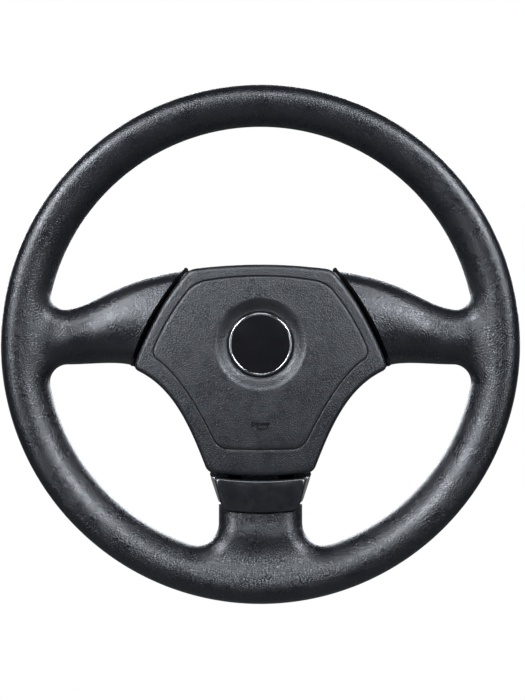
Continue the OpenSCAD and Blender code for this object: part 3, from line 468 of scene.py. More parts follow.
def side_row(c0, c1, row_u, side):
    """A row over a side spoke from crest to crest. The last rows take on the gap's bow."""
    cut_top, cut_bottom = gap_at(TOP_SHARE, GAP_W / 2), gap_at(BOTTOM_SHARE, GAP_W / 2)
    arch = crown_slope(SPOKE_TILT, row_u) * (c1 - c0).length if side > 0 else 0.0
    row = []
    for i in range(ACROSS_STEPS + 1):
        u = i / ACROSS_STEPS
        p = across(c0, c1, u, row_u)
        if 0 < i < ACROSS_STEPS:
            along_cut = gap_at(mix(TOP_SHARE, BOTTOM_SHARE, u), GAP_W / 2)
            p += (along_cut - mix(cut_top, cut_bottom, u)) * row_u ** 3
        row.append((p.x, p.y, skin_z(p, side, 1) + arch * crown_share(u)))
    return row


def low_row(c, row_u, side):
    """A row over the lower spoke, from its right crest to its middle."""
    arch = crown_slope(LOW_TILT, row_u) * c.x if side > 0 else 0.0
    row = []
    for i in range(ACROSS_STEPS // 2 + 1):
        u = 2 * i / ACROSS_STEPS
        p = across(c, Vector((-c.x, c.y)), u / 2, row_u)
        row.append((p.x, p.y, skin_z(p, side, 1) + arch * u * (1 - u / 2)))
    return row


def grip_patches():
    """The right half of the grip's skin."""
    (top, bottom), low = side_branches(), low_branch()
    joins = [angle_of(crest_of(branch[0])) for branch in (top, bottom, low)]
    upper_rim, lower_rim = rim_stations(90, joins[0]), rim_stations(joins[1], joins[2])
    n, side_rows, low_rows = len(top) - 1, {}, {}
    for side in (1, -1):
        side_rows[side] = [side_row(crest_of(top[k]), crest_of(bottom[k]), k / n, side)
                           for k in range(n + 1)]
        low_rows[side] = [low_row(crest_of(station), k / (len(low) - 1), side)
                          for k, station in enumerate(low)]
    crest_line = [crest_of(s) for s in upper_rim[:-1]]
    crest_line += [Vector(p[:2]) for p in side_rows[1][0]]
    crest_line += [crest_of(s) for s in lower_rim[1:-1]]
    crest_line += [Vector(p[:2]) for p in low_rows[1][0]]

    patches = []
    for side in (1, -1):
        windows = [upper_rim[:-1] + top, bottom[::-1] + lower_rim[1:-1] + low]
        patches += [([strip_row(s, side) for s in window], side > 0) for window in windows]
        patches.append(([outer_row(c, side) for c in crest_line], side < 0))
        patches.append((side_rows[side], side < 0))
        patches.append((low_rows[side], side < 0))
    side_ends = [strip_row(top[n], side)[::-1] + side_rows[side][n][1:-1]
                 + strip_row(bottom[n], side) for side in (1, -1)]
    low_ends = [strip_row(low[-1], side)[::-1] + low_rows[side][-1][1:] for side in (1, -1)]
    return patches + [(side_ends, False), (low_ends, False)]


def mirrored(patches):
    """The left half of the grip's skin."""
    return [([[(-x, y, z) for x, y, z in row] for row in rows], not turned)
            for rows, turned in patches]


def lip_plan(grow):
    """The lip's outline: a bowed lower edge with rounded corners, anticlockwise."""
    w, low = LIP_W + grow, LOW_CUT_Y - LIP_DROP - grow
    turn = w - LIP_CORNER

    def edge(x):
        return Vector((x, low + LIP_BOW * (x / w) ** 2))

    half = [edge(turn * i / LIP_STEPS) for i in range(LIP_STEPS)]
    half += corner(edge(turn), edge(w), edge(w) + Vector((0, LIP_CORNER)), LIP_STEPS)
    return whole(half + [Vector((w, low + LIP_LONG)), Vector((0, low + LIP_LONG))])


def make_grip():
    half = grip_patches()
    grip = new_piece("grip_skin", *weld(half + mirrored(half)))
    seat = TRIM_Z - LIP_T - LIP_PLAY
    cut(grip, new_piece("lip_cutter", *prism(lip_plan(LIP_PLAY), seat, seat + LIP_CUT_UP)))
    return grip


# The pad's cover: rings from its inside, round the skirt and over the face

# Points along an outline's stretches
TOP_STEPS = 16
SIDE_STEPS = 24
UNDER_STEPS = 30
CORNER_STEPS = 12
MITRE = 0.62

# How far the corners B, D and E reach along their sides, and the handles of the curve from D
# to E. The seam's corners lie inside the pad's.
OUTLINE_LEGS = (5, 5, 5)
OUTLINE_HANDLES = (Vector((-30.5, -12.1)), Vector((12.3, 32)))
SEAM_B = PAD_B + Vector((-4.6, -1.2 - SEAM_INSET))
SEAM_D = PAD_D + Vector((-13.2, 9.6))
SEAM_E = PAD_E + Vector((-7.8, 17.8))
SEAM_LEGS = (9, 7, 8)
SEAM_HANDLES = (Vector((-18, -8)), Vector((14, 30)))
SEAM_BOW = 3.0
SEAM_SAG = 0.8

# Rings of points over the pad's face, from its rounded edge to its middle
EDGE_RINGS = 12
BORDER_RINGS = 8
SEAM_RINGS = 12
FIELD_RINGS = 16
RECESS_RINGS = 20
RECESS_BRIM = 2.0
BADGE_ROOM = (0.5, 0.2)

# Inside of the cover: the skirt's broken edge, the steps of the inner corner as way in and
# way down, and how much wider the recess and the badge's seat are there
SKIRT_EDGE = 0.4
INNER_CORNER = ((3.0, 0.0), (1.2, 2.0))
INNER_MORE = 4.0


def half_shield(top_y, b, d, e, bow, handles, sag, legs):
    """Right half of a shield outline, clockwise from the top's middle."""
    ctrl = (d + handles[0], e + handles[1])
    chord = d - b
    out = left_of(chord).normalized()

    def top(u):
        return Vector((b.x * u, mix(top_y, b.y, u * u)))

    def side(u):
        return mix(b, d, u) + out * bow * 4 * u * (1 - u)

    def under(u):
        return bezier([d, ctrl[0], ctrl[1], e], u)

    def low(u):
        return Vector((e.x * (1 - u), e.y - sag * (1 - (1 - u) ** 2)))

    t1, s0, s1 = 1 - legs[0] / b.x, legs[0] / chord.length, 1 - legs[1] / chord.length
    u0 = legs[1] / (3 * (ctrl[0] - d).length)
    u1 = 1 - legs[2] / (3 * (e - ctrl[1]).length)
    l0 = legs[2] / e.x
    loop = [top(t1 * i / TOP_STEPS) for i in range(TOP_STEPS)]
    loop += corner(top(t1), b, side(s0), CORNER_STEPS)
    loop += [side(mix(s0, s1, i / SIDE_STEPS)) for i in range(1, SIDE_STEPS)]
    loop += corner(side(s1), d, under(u0), CORNER_STEPS)
    loop += [under(mix(u0, u1, i / UNDER_STEPS)) for i in range(1, UNDER_STEPS)]
    loop += corner(under(u1), e, low(l0), CORNER_STEPS)
    return loop + [low(mix(l0, 1, i / CORNER_STEPS)) for i in range(1, CORNER_STEPS + 1)]


def inset(loop, partner, d):
    """The loop moved inward by d, each point towards its partner. MITRE keeps a point whose way
    is slanted from going too far."""
    n, moved = len(loop), []
    for i, p in enumerate(loop):
        along = (loop[(i + 1) % n] - loop[i - 1]).normalized()
        inward = Vector((along.y, -along.x))
        way = (partner[i] - p).normalized()
        moved.append(p + way * d / max(MITRE, inward.dot(way)))
    return moved


def circle_like(loop, r):
    """A circle with a point for each of the loop's, in the same direction."""
    return [r * p.normalized() for p in loop]


def loop_mix(a, b, u):
    return [mix(p, q, u) for p, q in zip(a, b)]


def face_z(p):
    return PAD_Z - PAD_CROWN * (p.length / PAD_D.x) ** 2


def on_face(loop, fall):
    """The loop at a depth under the pad's crowned face."""
    return [(p.x, p.y, face_z(p) - fall) for p in loop]


def pad_loops():
    """The pad's outline and its seam, with as many points each."""
    outline = half_shield(PAD_TOP_Y, PAD_B, PAD_D, PAD_E, GAP_BOW, OUTLINE_HANDLES,
                          PAD_BOTTOM_SAG, OUTLINE_LEGS)
    seam = half_shield(PAD_TOP_Y - SEAM_INSET, SEAM_B, SEAM_D, SEAM_E, SEAM_BOW, SEAM_HANDLES,
                       SEAM_SAG, SEAM_LEGS)
    return whole(outline), whole(seam)


def pad_inside(outline, seam):
    """Rings of the cover's inside, from its middle to the skirt's lower edge."""
    def from_edge(d):
        return inset(outline, seam, d)

    wall = COVER_T + SKIRT_DRAFT
    rings = [level([0 * p for p in seam], SEAT_Z - COVER_T),
             level(circle_like(seam, BADGE_R + INNER_MORE), SEAT_Z - COVER_T),
             on_face(circle_like(seam, RECESS_R + INNER_MORE), COVER_T)]
    rings += [on_face(from_edge(COVER_T + aside), COVER_T + down)
              for aside, down in INNER_CORNER]
    return rings + [level(from_edge(wall), SKIRT_Z + SKIRT_EDGE),
                    level(from_edge(wall - SKIRT_EDGE), SKIRT_Z),
                    level(from_edge(SKIRT_DRAFT + SKIRT_EDGE), SKIRT_Z),
                    level(from_edge(SKIRT_DRAFT), SKIRT_Z + SKIRT_EDGE)]


def pad_outside(outline, seam):
    """Rings of the face: rounded edge, border, seam, field, recess and the badge's seat."""
    recess, brim = circle_like(seam, RECESS_R), circle_like(seam, RECESS_R + RECESS_BRIM)
    rings = [on_face(inset(outline, seam, PAD_EDGE_R * aside), PAD_EDGE_R * down)
             for aside, down in quarter(EDGE_RINGS)]
    border, before = inset(outline, seam, PAD_EDGE_R), inset(seam, recess, -SEAM_W / 2)
    rings += [on_face(loop_mix(border, before, i / BORDER_RINGS), 0)
              for i in range(1, BORDER_RINGS)]
    for i in range(SEAM_RINGS + 1):
        c, _ = wave(360 * i / SEAM_RINGS)
        rings.append(on_face(inset(seam, recess, SEAM_W * (i / SEAM_RINGS - 0.5)),
                             SEAM_DEEP * (1 - c) / 2))
    after = inset(seam, recess, SEAM_W / 2)
    rings += [on_face(loop_mix(after, brim, i / FIELD_RINGS), 0)
              for i in range(1, FIELD_RINGS + 1)]
    for i in range(1, RECESS_RINGS + 1):
        u = i / RECESS_RINGS
        r = mix(RECESS_R + RECESS_BRIM, BADGE_R + BADGE_ROOM[0], u)
        rings.append(on_face(circle_like(seam, r), RECESS_DEEP * ease(u)))
    return rings + [level(circle_like(seam, BADGE_R + BADGE_ROOM[1]), SEAT_Z),
                    level([0 * p for p in seam], SEAT_Z)]


def make_pad():
    loops = pad_loops()
    rings = pad_inside(*loops) + pad_outside(*loops)
    return new_piece("pad_skin", *weld([(closed(rings), False)]), smooth_deg=50)


# Lower trim: a tapered shell whose face runs down into a lip over the lower spoke

TRIM_T = 2.2
TRIM_BACK_Z = 42.3
TRIM_TOP_Y = PAD_E.y - 3.4
TRIM_TOP_W = 37.8
TRIM_LOW_W = LOW_SPOKE_W / 2
TRIM_LOW_Y = LOW_CUT_Y + 0.5
TRIM_BOW = 2.4
TRIM_SLOPE = 3.0
TRIM_ROUND = 2.4
TRIM_CROWN = 0.5
TRIM_CORNER = 3.0
TRIM_HOLLOW_SLOPE = 4.0
TRIM_HOLLOW_UP = 0.4
TRIM_FACE_STEPS = 8
TRIM_SIDE_STEPS = 4
TRIM_CORNER_STEPS = 5

# Small ears at the trim's back close the view between the pad and the trim: painted shade, dark
# sheets standing in for the shadow in that gap
EAR = ((25.5, -100.0), (37.0, -100.0), (38.0, -97.2), (37.2, -94.6), (25.5, -94.6))

# Dark strips close the view past the gap's inserts: painted shade, a dark sheet standing in for
# the shadow inside the gap. They lie clear of the grip by SHADE_PLAY, and under the pad's side
# edge by
# SHADE_UNDER. Ears and strips lie between the same two heights.
SHADE_Z = (40.6, 42.4)
SHADE_PLAY = 0.3
SHADE_UNDER = 1.7
SHADE_STEPS = 12


def trim_loop(w_top, w_low, y_top, y_low, r, low_bow):
    """The trim's outline at one level, clockwise from the top's middle."""
    def top(x):
        return Vector((x, y_top - TRIM_BOW * (1 - (x / w_top) ** 2)))

    def low(x):
        return Vector((x, y_low + low_bow * (x / w_low) ** 2))

    a, b = top(w_top), low(w_low)
    turn = r / (b - a).length
    half = [top((w_top - r) * i / TRIM_FACE_STEPS) for i in range(TRIM_FACE_STEPS)]
    half += corner(top(w_top - r), a, mix(a, b, turn), TRIM_CORNER_STEPS)
    half += [mix(a, b, mix(turn, 1 - turn, i / TRIM_SIDE_STEPS))
             for i in range(1, TRIM_SIDE_STEPS)]
    half += corner(mix(b, a, turn), b, low(w_low - r), TRIM_CORNER_STEPS)
    half += [low((w_low - r) * (1 - i / TRIM_FACE_STEPS))
             for i in range(1, TRIM_FACE_STEPS + 1)]
    return whole(half)


def trim_shell(less, slope, z):
    """The walls' outline at a height: smaller by less all round, and drawn in by the slope."""
    return level(trim_loop(TRIM_TOP_W - less - slope, TRIM_LOW_W - less - slope / 2,
                           TRIM_TOP_Y - less, TRIM_LOW_Y + less, TRIM_CORNER, 0), z)


def trim_face(less, z):
    """The face's outline with the lip, smaller by less all round."""
    return level(trim_loop(TRIM_TOP_W - TRIM_SLOPE - less, LIP_W - less, TRIM_TOP_Y - less,
                           LOW_CUT_Y - LIP_DROP + less, LIP_CORNER, LIP_BOW), z)


def make_trim():
    middle = Vector((0, (TRIM_TOP_Y + TRIM_LOW_Y) / 2))
    ceiling = TRIM_Z - LIP_T
    hollow = trim_shell(TRIM_T, TRIM_HOLLOW_SLOPE, ceiling - TRIM_HOLLOW_UP)
    rings = [[(*middle, ceiling - TRIM_HOLLOW_UP)] * len(hollow), hollow,
             trim_shell(TRIM_T, 0, TRIM_BACK_Z), trim_shell(0, 0, TRIM_BACK_Z),
             trim_shell(0, TRIM_SLOPE, ceiling), trim_face(0, ceiling)]
    rings += [trim_face(TRIM_ROUND * aside, TRIM_Z - TRIM_ROUND * down)
              for aside, down in quarter(TRIM_FACE_STEPS)]
    edge = rings[-1]
    for i in range(1, TRIM_FACE_STEPS + 1):
        u = i / TRIM_FACE_STEPS
        rise = TRIM_CROWN * u * (2 - u)
        rings.append([(mix(x, middle.x, u), mix(y, middle.y, u), z + rise) for x, y, z in edge])
    shell = weld([(closed(rings), False)])
    # The ears added here are painted shade in the gap between the pad and the trim
    return new_piece("trim_skin", *with_prisms(*shell, EAR, SHADE_Z), smooth_deg=50)


# Painted shade: dark strips under the gaps beside the pad, standing in for the shadow inside them
def make_painted_shade_strips():
    shares = [i / SHADE_STEPS for i in range(SHADE_STEPS + 1)]
    outer = [gap_at(u, GAP_W / 2 - SHADE_PLAY) for u in shares]
    under = [gap_at(u, -GAP_W / 2 - SHADE_UNDER) for u in shares]
    right = [tuple(p) for p in under + outer[::-1]]
    return new_piece("gap_painted_shade_strips", *with_prisms([], [], right, SHADE_Z))


# The horn's sign low on the pad: fine ribs in the shape of a bugle

SIGN_AT = Vector((0, -59.7))
SIGN_W = 0.8
SIGN_UP = 0.12
SIGN_SUNK = 0.3
BUGLE = (
    ((-6.3, 2.9), (-6.3, -1.7)),
    ((-6.3, 2.4), (-4.9, 1.5), (-3.2, 1.15), (0.0, 1.1), (6.4, 1.1)),
    ((-6.3, -1.2), (-4.9, -0.3), (-3.2, 0.05), (0.0, 0.1), (6.4, 0.1)),
    ((6.4, 1.5), (6.4, -0.3)),
    ((3.9, 0.1), (5.0, -0.5), (5.4, -1.5), (5.0, -2.5), (3.9, -3.1), (0.0, -3.1), (-1.4, -2.9),
     (-2.3, -2.1), (-2.5, -1.2), (-2.3, 0.0)),
)


def rib(path):
    """A closed bar along a path on the pad's face."""
    points = [SIGN_AT + Vector(p) for p in path]
    rows = []
    for i, p in enumerate(points):
        way = (points[min(i + 1, len(points) - 1)] - points[max(i - 1, 0)]).normalized()
        aside = left_of(way) * SIGN_W / 2
        low, high = face_z(p) - SIGN_SUNK, face_z(p) + SIGN_UP
        a, b = p + aside, p - aside
        rows.append([(*a, low), (*a, high), (*b, high), (*b, low), (*a, low)])
    ends = [[(*p, face_z(p))] * 5 for p in (points[0], points[-1])]
    return [ends[0]] + rows + [ends[1]], False


def make_sign():
    return new_piece("horn_sign", *weld([rib(path) for path in BUGLE]))


# The folded cushion: cloth laid in rounded folds round the inflator, under the pad's cover

FOLDS = 5
FOLD_STEPS = 10
FOLD_IN = 11.4
FOLD_DEEP = 1.3
CLOTH_T = 0.8

# Ripples run round the folds, shifted by so many degrees from the lowest to the highest
RIPPLES = 11
RIPPLE_SHIFT = 700
RIPPLE_SHARE = 0.004

# Creases run round the top
TOP_RINGS = 12
CREASES = 3
CREASE_DEEP = 0.5

# The hole in the cloth round the inflator, and the room above it
CAN_HOLE_R = 39.0
ROOM_R = 43.0
ROOM_TOP = 4.0


def make_cushion():
    outline, seam = pad_loops()
    high, low = (-corner_point.y / MM for corner_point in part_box("airbag_cushion"))

    def fold(u):
        c, _ = wave(360 * FOLDS * u)
        ring = []
        for p in inset(outline, seam, FOLD_IN + FOLD_DEEP * (1 + c) / 2):
            _, ripple = wave(RIPPLES * angle_of(p) + RIPPLE_SHIFT * u)
            share = 1 - RIPPLE_SHARE * (1 + ripple)
            ring.append((p.x * share, p.y * share, mix(low, high, u)))
        return ring

    flat = [0 * p for p in seam]
    rings = [level(flat, high - ROOM_TOP), level(circle_like(seam, ROOM_R), high - ROOM_TOP),
             level(circle_like(seam, ROOM_R), low + CLOTH_T),
             level(circle_like(seam, CAN_HOLE_R), low + CLOTH_T),
             level(circle_like(seam, CAN_HOLE_R), low)]
    steps = FOLDS * FOLD_STEPS
    rings += [fold(i / steps) for i in range(steps + 1)]
    top = rings[-1]
    for i in range(1, TOP_RINGS + 1):
        u = i / TOP_RINGS
        _, crease = wave(360 * CREASES * u)
        fall = CREASE_DEEP * (1 + crease) * min(u, 1 - u) * 2
        rings.append([(x * (1 - u), y * (1 - u), z - fall) for x, y, z in top])
    return new_piece("folded_cushion", *weld([(closed(rings), False)]))


# Horn springs, drawn as round wire

def make_springs():
    low = -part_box("horn_springs")[1].y / MM + SPRING_WIRE_R
    high = -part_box("horn_springs")[0].y / MM - SPRING_WIRE_R
    patches = []
    n = round(SPRING_TURNS * SPRING_STEPS)
    for at in SPRING_AT:
        centre, rings = polar(SPRING_PCD_R, at), []
        for i in range(n + 1):
            z, ring = mix(low, high, i / n), []
            thin = 0.0 if i in (0, n) else SPRING_WIRE_R
            for k in range(WIRE_SIDES + 1):
                c, s = wave(360 * (k % WIRE_SIDES) / WIRE_SIDES)
                p = centre + polar(SPRING_R + thin * c, 360 * i / SPRING_STEPS)
                ring.append((p.x, p.y, z + thin * s))
            rings.append(ring)
        patches.append((rings, False))
    return new_piece("spring_wires", *weld(patches))


# Finishes

# A Mix node's sockets for two colours, and for the one that comes out
MIX_DARK, MIX_LIGHT, MIX_OUT = 6, 7, 2

# Nearly all of a noise's values lie between these
NOISE_SPAN = (0.3, 0.7)
THREAD_SCALE = 1400


def linear(srgb):
    """Colours are written as on a screen, from 0 to 255."""
    shares = [c / 255 for c in srgb]
    return [c / 12.92 if c <= 0.04045 else ((c + 0.055) / 1.055) ** 2.4 for c in shares]


class Finish:
    """One material, built up from a colour, roughness and layers of relief."""

    def __init__(self, name, colour, rough, metal=0.0, specular=0.5, coat=0.0):
        self.material = bpy.data.materials.new(name)
        self.material.use_nodes = True
        self.colour = colour
        self.tree = self.material.node_tree
        self.shader = self.tree.nodes["Principled BSDF"]
        self.shader.inputs["Base Color"].default_value = (*linear(colour), 1)
        self.shader.inputs["Roughness"].default_value = rough
        self.shader.inputs["Metallic"].default_value = metal
        self.shader.inputs["Specular IOR Level"].default_value = specular
        self.shader.inputs["Coat Weight"].default_value = coat
        self.place = self.tree.nodes.new("ShaderNodeTexCoord").outputs["Object"]
        self.relief = None

    def node(self, kind, **sockets):
        made = self.tree.nodes.new(kind)
        for name, value in sockets.items():
            made.inputs[name.replace("_", " ")].default_value = value
        return made

    def join(self, source, target):
        self.tree.links.new(source, target)

    def noise(self, scale, detail=3.0, stretch=None):
        made = self.node("ShaderNodeTexNoise", Scale=scale, Detail=detail)
        place = self.place
        if stretch:
            mapping = self.node("ShaderNodeMapping")
            mapping.inputs["Scale"].default_value = stretch
            self.join(place, mapping.inputs["Vector"])
            place = mapping.outputs["Vector"]
        self.join(place, made.inputs["Vector"])
        return made.outputs["Fac"]

    def creases(self, scale, wander, width):
        """Rounded cells with creases between them, as in leather: 0 in a crease, 1 on a cell."""
        shift = self.node("ShaderNodeTexNoise", Scale=scale * 0.6, Detail=2.0)
        self.join(self.place, shift.inputs["Vector"])
        moved = self.node("ShaderNodeVectorMath")
        moved.operation = "MULTIPLY_ADD"
        moved.inputs[1].default_value = (wander,) * 3
        self.join(shift.outputs["Color"], moved.inputs[0])
        self.join(self.place, moved.inputs[2])
        cells = self.node("ShaderNodeTexVoronoi", Scale=scale)
        cells.feature = "DISTANCE_TO_EDGE"
        self.join(moved.outputs["Vector"], cells.inputs["Vector"])
        return self.spread(cells.outputs["Distance"], 0.0, width, 0.0, 1.0)

    def spread(self, source, low, high, to_low, to_high):
        ranged = self.node("ShaderNodeMapRange", From_Min=low, From_Max=high, To_Min=to_low,
                           To_Max=to_high)
        ranged.interpolation_type = "SMOOTHSTEP"
        self.join(source, ranged.inputs["Value"])
        return ranged.outputs["Result"]

    def mottle(self, source, dark, light):
        """The colour drifts between two shares of itself."""
        blend = self.tree.nodes.new("ShaderNodeMix")
        blend.data_type = "RGBA"
        for socket, share in ((MIX_DARK, dark), (MIX_LIGHT, light)):
            blend.inputs[socket].default_value = (*[c * share for c in linear(self.colour)], 1)
        self.join(self.spread(source, *NOISE_SPAN, 0, 1), blend.inputs[0])
        self.join(blend.outputs[MIX_OUT], self.shader.inputs["Base Color"])

    def roughness(self, source, low, high):
        self.join(self.spread(source, *NOISE_SPAN, low, high), self.shader.inputs["Roughness"])

    def bump(self, source, height_mm, strength=1.0):
        made = self.node("ShaderNodeBump", Strength=strength, Distance=height_mm * MM)
        self.join(source, made.inputs["Height"])
        if self.relief:
            self.join(self.relief, made.inputs["Normal"])
        self.relief = made.outputs["Normal"]
        self.join(self.relief, self.shader.inputs["Normal"])


def leather_grain(name, colour, cell_mm, height_mm, rough, specular=0.5):
    """Moulded skin with a fine leather grain."""
    finish = Finish(name, colour, rough, specular=specular)
    cell = cell_mm * MM
    grain = finish.creases(scale=1 / cell, wander=0.35 * cell, width=0.22)
    finish.mottle(finish.noise(scale=38, detail=4), dark=0.86, light=1.14)
    finish.roughness(finish.noise(scale=70, detail=3), low=rough - 0.05, high=rough + 0.06)
    finish.bump(finish.noise(scale=260, detail=2), height_mm=0.10, strength=0.5)
    finish.bump(grain, height_mm)
    finish.bump(finish.noise(scale=3.2 / cell, detail=2), height_mm=height_mm * 0.5)
    return finish.material


def moulded(name, colour, rough, grain_mm, coat=0.0, specular=0.5):
    """Plain moulded plastic with a very fine texture."""
    finish = Finish(name, colour, rough, coat=coat, specular=specular)
    finish.mottle(finish.noise(scale=45, detail=3), dark=0.9, light=1.1)
    finish.roughness(finish.noise(scale=120, detail=4), low=rough - 0.04, high=rough + 0.05)
    finish.bump(finish.noise(scale=2600, detail=2), height_mm=grain_mm)
    return finish.material


def metal(name, colour, rough, grain_mm, stretch=None, spots=0.0):
    """Bare or plated metal, with drawn or cast texture."""
    finish = Finish(name, colour, rough, metal=1.0)
    finish.mottle(finish.noise(scale=90, detail=5), dark=0.86 - spots, light=1.08)
    drawn = finish.noise(scale=400, detail=4, stretch=stretch)
    finish.roughness(drawn, low=rough - 0.08, high=rough + 0.1)
    finish.bump(finish.noise(scale=1500, detail=3, stretch=stretch), height_mm=grain_mm)
    return finish.material


def woven(name, colour):
    """Coated nylon cloth: two sets of threads."""
    finish = Finish(name, colour, rough=0.85, specular=0.3)
    for way in ((THREAD_SCALE, 0, 0), (0, 0, THREAD_SCALE)):
        threads = finish.node("ShaderNodeTexWave", Scale=1.0, Distortion=0.6)
        mapping = finish.node("ShaderNodeMapping")
        mapping.inputs["Scale"].default_value = way
        finish.join(finish.place, mapping.inputs["Vector"])
        finish.join(mapping.outputs["Vector"], threads.inputs["Vector"])
        finish.bump(threads.outputs["Fac"], height_mm=0.05, strength=0.6)
    finish.mottle(finish.noise(scale=60, detail=4), dark=0.85, light=1.05)
    return finish.material


FINISHES = {
    "grip": leather_grain("grip_skin", (11, 12, 16), cell_mm=1.8, height_mm=0.085, rough=0.29),
    "pad": leather_grain("pad_skin", (13, 14, 18), cell_mm=1.7, height_mm=0.085, rough=0.38,
                         specular=0.55),
    "deep_black": moulded("deep_black", (7, 7, 8), rough=0.85, grain_mm=0.02, specular=0.1),
    "black_plastic": moulded("black_plastic", (30, 31, 34), rough=0.5, grain_mm=0.03),
    "satin_plastic": moulded("satin_plastic", (12, 13, 16), rough=0.3, grain_mm=0.008, coat=0.5),
    "gloss_black": moulded("gloss_black", (12, 12, 14), rough=0.12, grain_mm=0.002, coat=0.6),
    "bright_ring": metal("bright_ring", (215, 217, 222), rough=0.14, grain_mm=0.002),
    "casting": metal("casting", (168, 170, 174), rough=0.5, grain_mm=0.09),
    "steel": metal("steel", (150, 152, 156), rough=0.3, grain_mm=0.01, stretch=(1, 6, 1)),
    "zinc_steel": metal("zinc_steel", (178, 166, 128), rough=0.36, grain_mm=0.012, spots=0.1),
    "can_steel": metal("can_steel", (140, 142, 146), rough=0.34, grain_mm=0.015,
                       stretch=(1, 8, 1)),
    "brass": metal("brass", (196, 160, 92), rough=0.28, grain_mm=0.008),
    "pale_plastic": moulded("pale_plastic", (206, 203, 192), rough=0.45, grain_mm=0.02),
    "cushion_cloth": woven("cushion_cloth", (208, 208, 200)),
    "cable_film": moulded("cable_film", (190, 182, 158), rough=0.35, grain_mm=0.01),
}

NODE_FINISH = {
    "rim_ring": "steel", "armature": "casting", "hub_bush": "steel",
    "spoke_inserts": "deep_black", "rear_cover": "black_plastic",
    "rear_cover_screws": "steel", "contact_plate": "zinc_steel",
    "contact_insulators": "pale_plastic", "airbag_screws": "steel",
    "badge_bezel": "bright_ring", "badge_disc": "gloss_black", "cover_screws": "steel",
    "module_plate": "zinc_steel", "guide_bolts": "steel", "contact_studs": "brass",
    "inflator": "can_steel", "inflator_nuts": "steel", "retaining_ring": "zinc_steel",
    "cassette_rotor": "pale_plastic", "cassette_screws": "steel",
    "cassette_ribbon": "cable_film", "cassette_housing": "black_plastic",
}

# Points of a node closer than SAME_POINT are one. The broken edges' widths are in millimetres.
SAME_POINT = 0.005
BREAK_STEPS = 3
BREAK_DEG = 35
EDGE_BREAK = {"spoke_inserts": 0.8, "badge_disc": 0.2, "badge_bezel": 0.15,
              "rear_cover": 0.4, "contact_plate": 0.25, "module_plate": 0.25}


def finish_piece(piece, slot):
    piece.data.materials.clear()
    piece.data.materials.append(FINISHES[slot])


def dress_node(name, slot):
    """A node of the frame keeps its shape and gets its finish, and softly broken edges where
    EDGE_BREAK lists it.
    """
    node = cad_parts[name]
    finish_piece(node, slot)
    for face in node.data.polygons:
        face.use_smooth = True
    one_skin = node.modifiers.new("joined", "WELD")
    one_skin.merge_threshold = SAME_POINT * MM
    if name in EDGE_BREAK:
        broken = node.modifiers.new("broken_edges", "BEVEL")
        broken.width, broken.segments = EDGE_BREAK[name] * MM, BREAK_STEPS
        broken.limit_method, broken.angle_limit = "ANGLE", math.radians(BREAK_DEG)


def add_piece(piece, body, slot, *nodes):
    finish_piece(piece, slot)
    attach(piece, body)
    if nodes:
        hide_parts(*nodes)


for node_name, slot_name in NODE_FINISH.items():
    dress_node(node_name, slot_name)
add_piece(make_grip(), "wheel", "grip", "grip")
add_piece(make_pad(), "airbag_module", "pad", "pad_cover")
add_piece(make_trim(), "wheel", "satin_plastic", "lower_trim")
# Dark strips of painted shade under the gaps beside the pad
add_piece(make_painted_shade_strips(), "wheel", "black_plastic")
sign = make_sign()
add_piece(sign, "airbag_module", "black_plastic")

# The sign's slot is plain black plastic, and its finish is the dull one that mirrors little
finish_piece(sign, "deep_black")
cushion = make_cushion()
add_piece(cushion, "airbag_module", "cushion_cloth", "airbag_cushion")
springs = make_springs()
add_piece(springs, "wheel", "steel", "horn_springs")
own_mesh(springs)


# Studio: white behind everything for the camera, a dim room for the light, and soft boxes

WHITE = (1, 1, 1, 1)
ROOM_LIGHT = 0.04

# Gloss mirrors a share of the white behind the wheel, fading in between two backward parts of
# a ray's direction
BACKDROP_FROM = 0.5
BACKDROP_FULL = 0.8
BACKDROP_IN_GLOSS = 0.2

# The floor is paint with a glow over it: how much of the glow the camera and the gloss see,
# and how bright it is in gloss
FLOOR_R = 3.0
FLOOR_Z = -0.62
FLOOR_SIDES = 96
FLOOR_PAINT = (0.8, 0.8, 0.8, 1)
FLOOR_ROUGH = 0.9
FLOOR_GLOW = 0.8
FLOOR_HUSH = 0.85
FLOOR_IN_GLOSS = 0.05

# Soft boxes: name, angle round the wheel, angle off its axis, size in metres and power in watts
BOX_FAR = 1.0
LAMP_TINT = (0.88, 0.93, 1.0)
SOFT_BOXES = (
    ("left_box", 142, 48, (0.45, 0.4), 16.5),
    ("right_box", 38, 48, (0.45, 0.4), 14.0),
    ("top_box", 90, 44, (0.4, 0.3), 3.6),
    ("left_side_box", 180, 40, (0.3, 0.4), 2.8),
    ("right_side_box", 0, 40, (0.3, 0.4), 1.8),
    ("rear_left_box", 140, 155, (0.6, 0.5), 6.0),
    ("rear_right_box", 40, 155, (0.6, 0.5), 6.0),
)


def joined(tree, operation, a, b):
    """A Math node of two sockets, or of a socket and a number."""
    made = tree.nodes.new("ShaderNodeMath")
    made.operation = operation
    tree.links.new(a, made.inputs[0])
    if isinstance(b, float):
        made.inputs[1].default_value = b
    else:
        tree.links.new(b, made.inputs[1])
    return made.outputs[0]


def backdrop_share(tree, glossy):
    """How much a ray sees of the white: all of it for the camera and through glass, and the
    given share of it in gloss."""
    rays = tree.nodes.new("ShaderNodeLightPath").outputs
    clear = joined(tree, "MAXIMUM", rays["Is Camera Ray"], rays["Is Transmission Ray"])
    return joined(tree, "MAXIMUM", clear, joined(tree, "MULTIPLY", rays["Is Glossy Ray"], glossy))


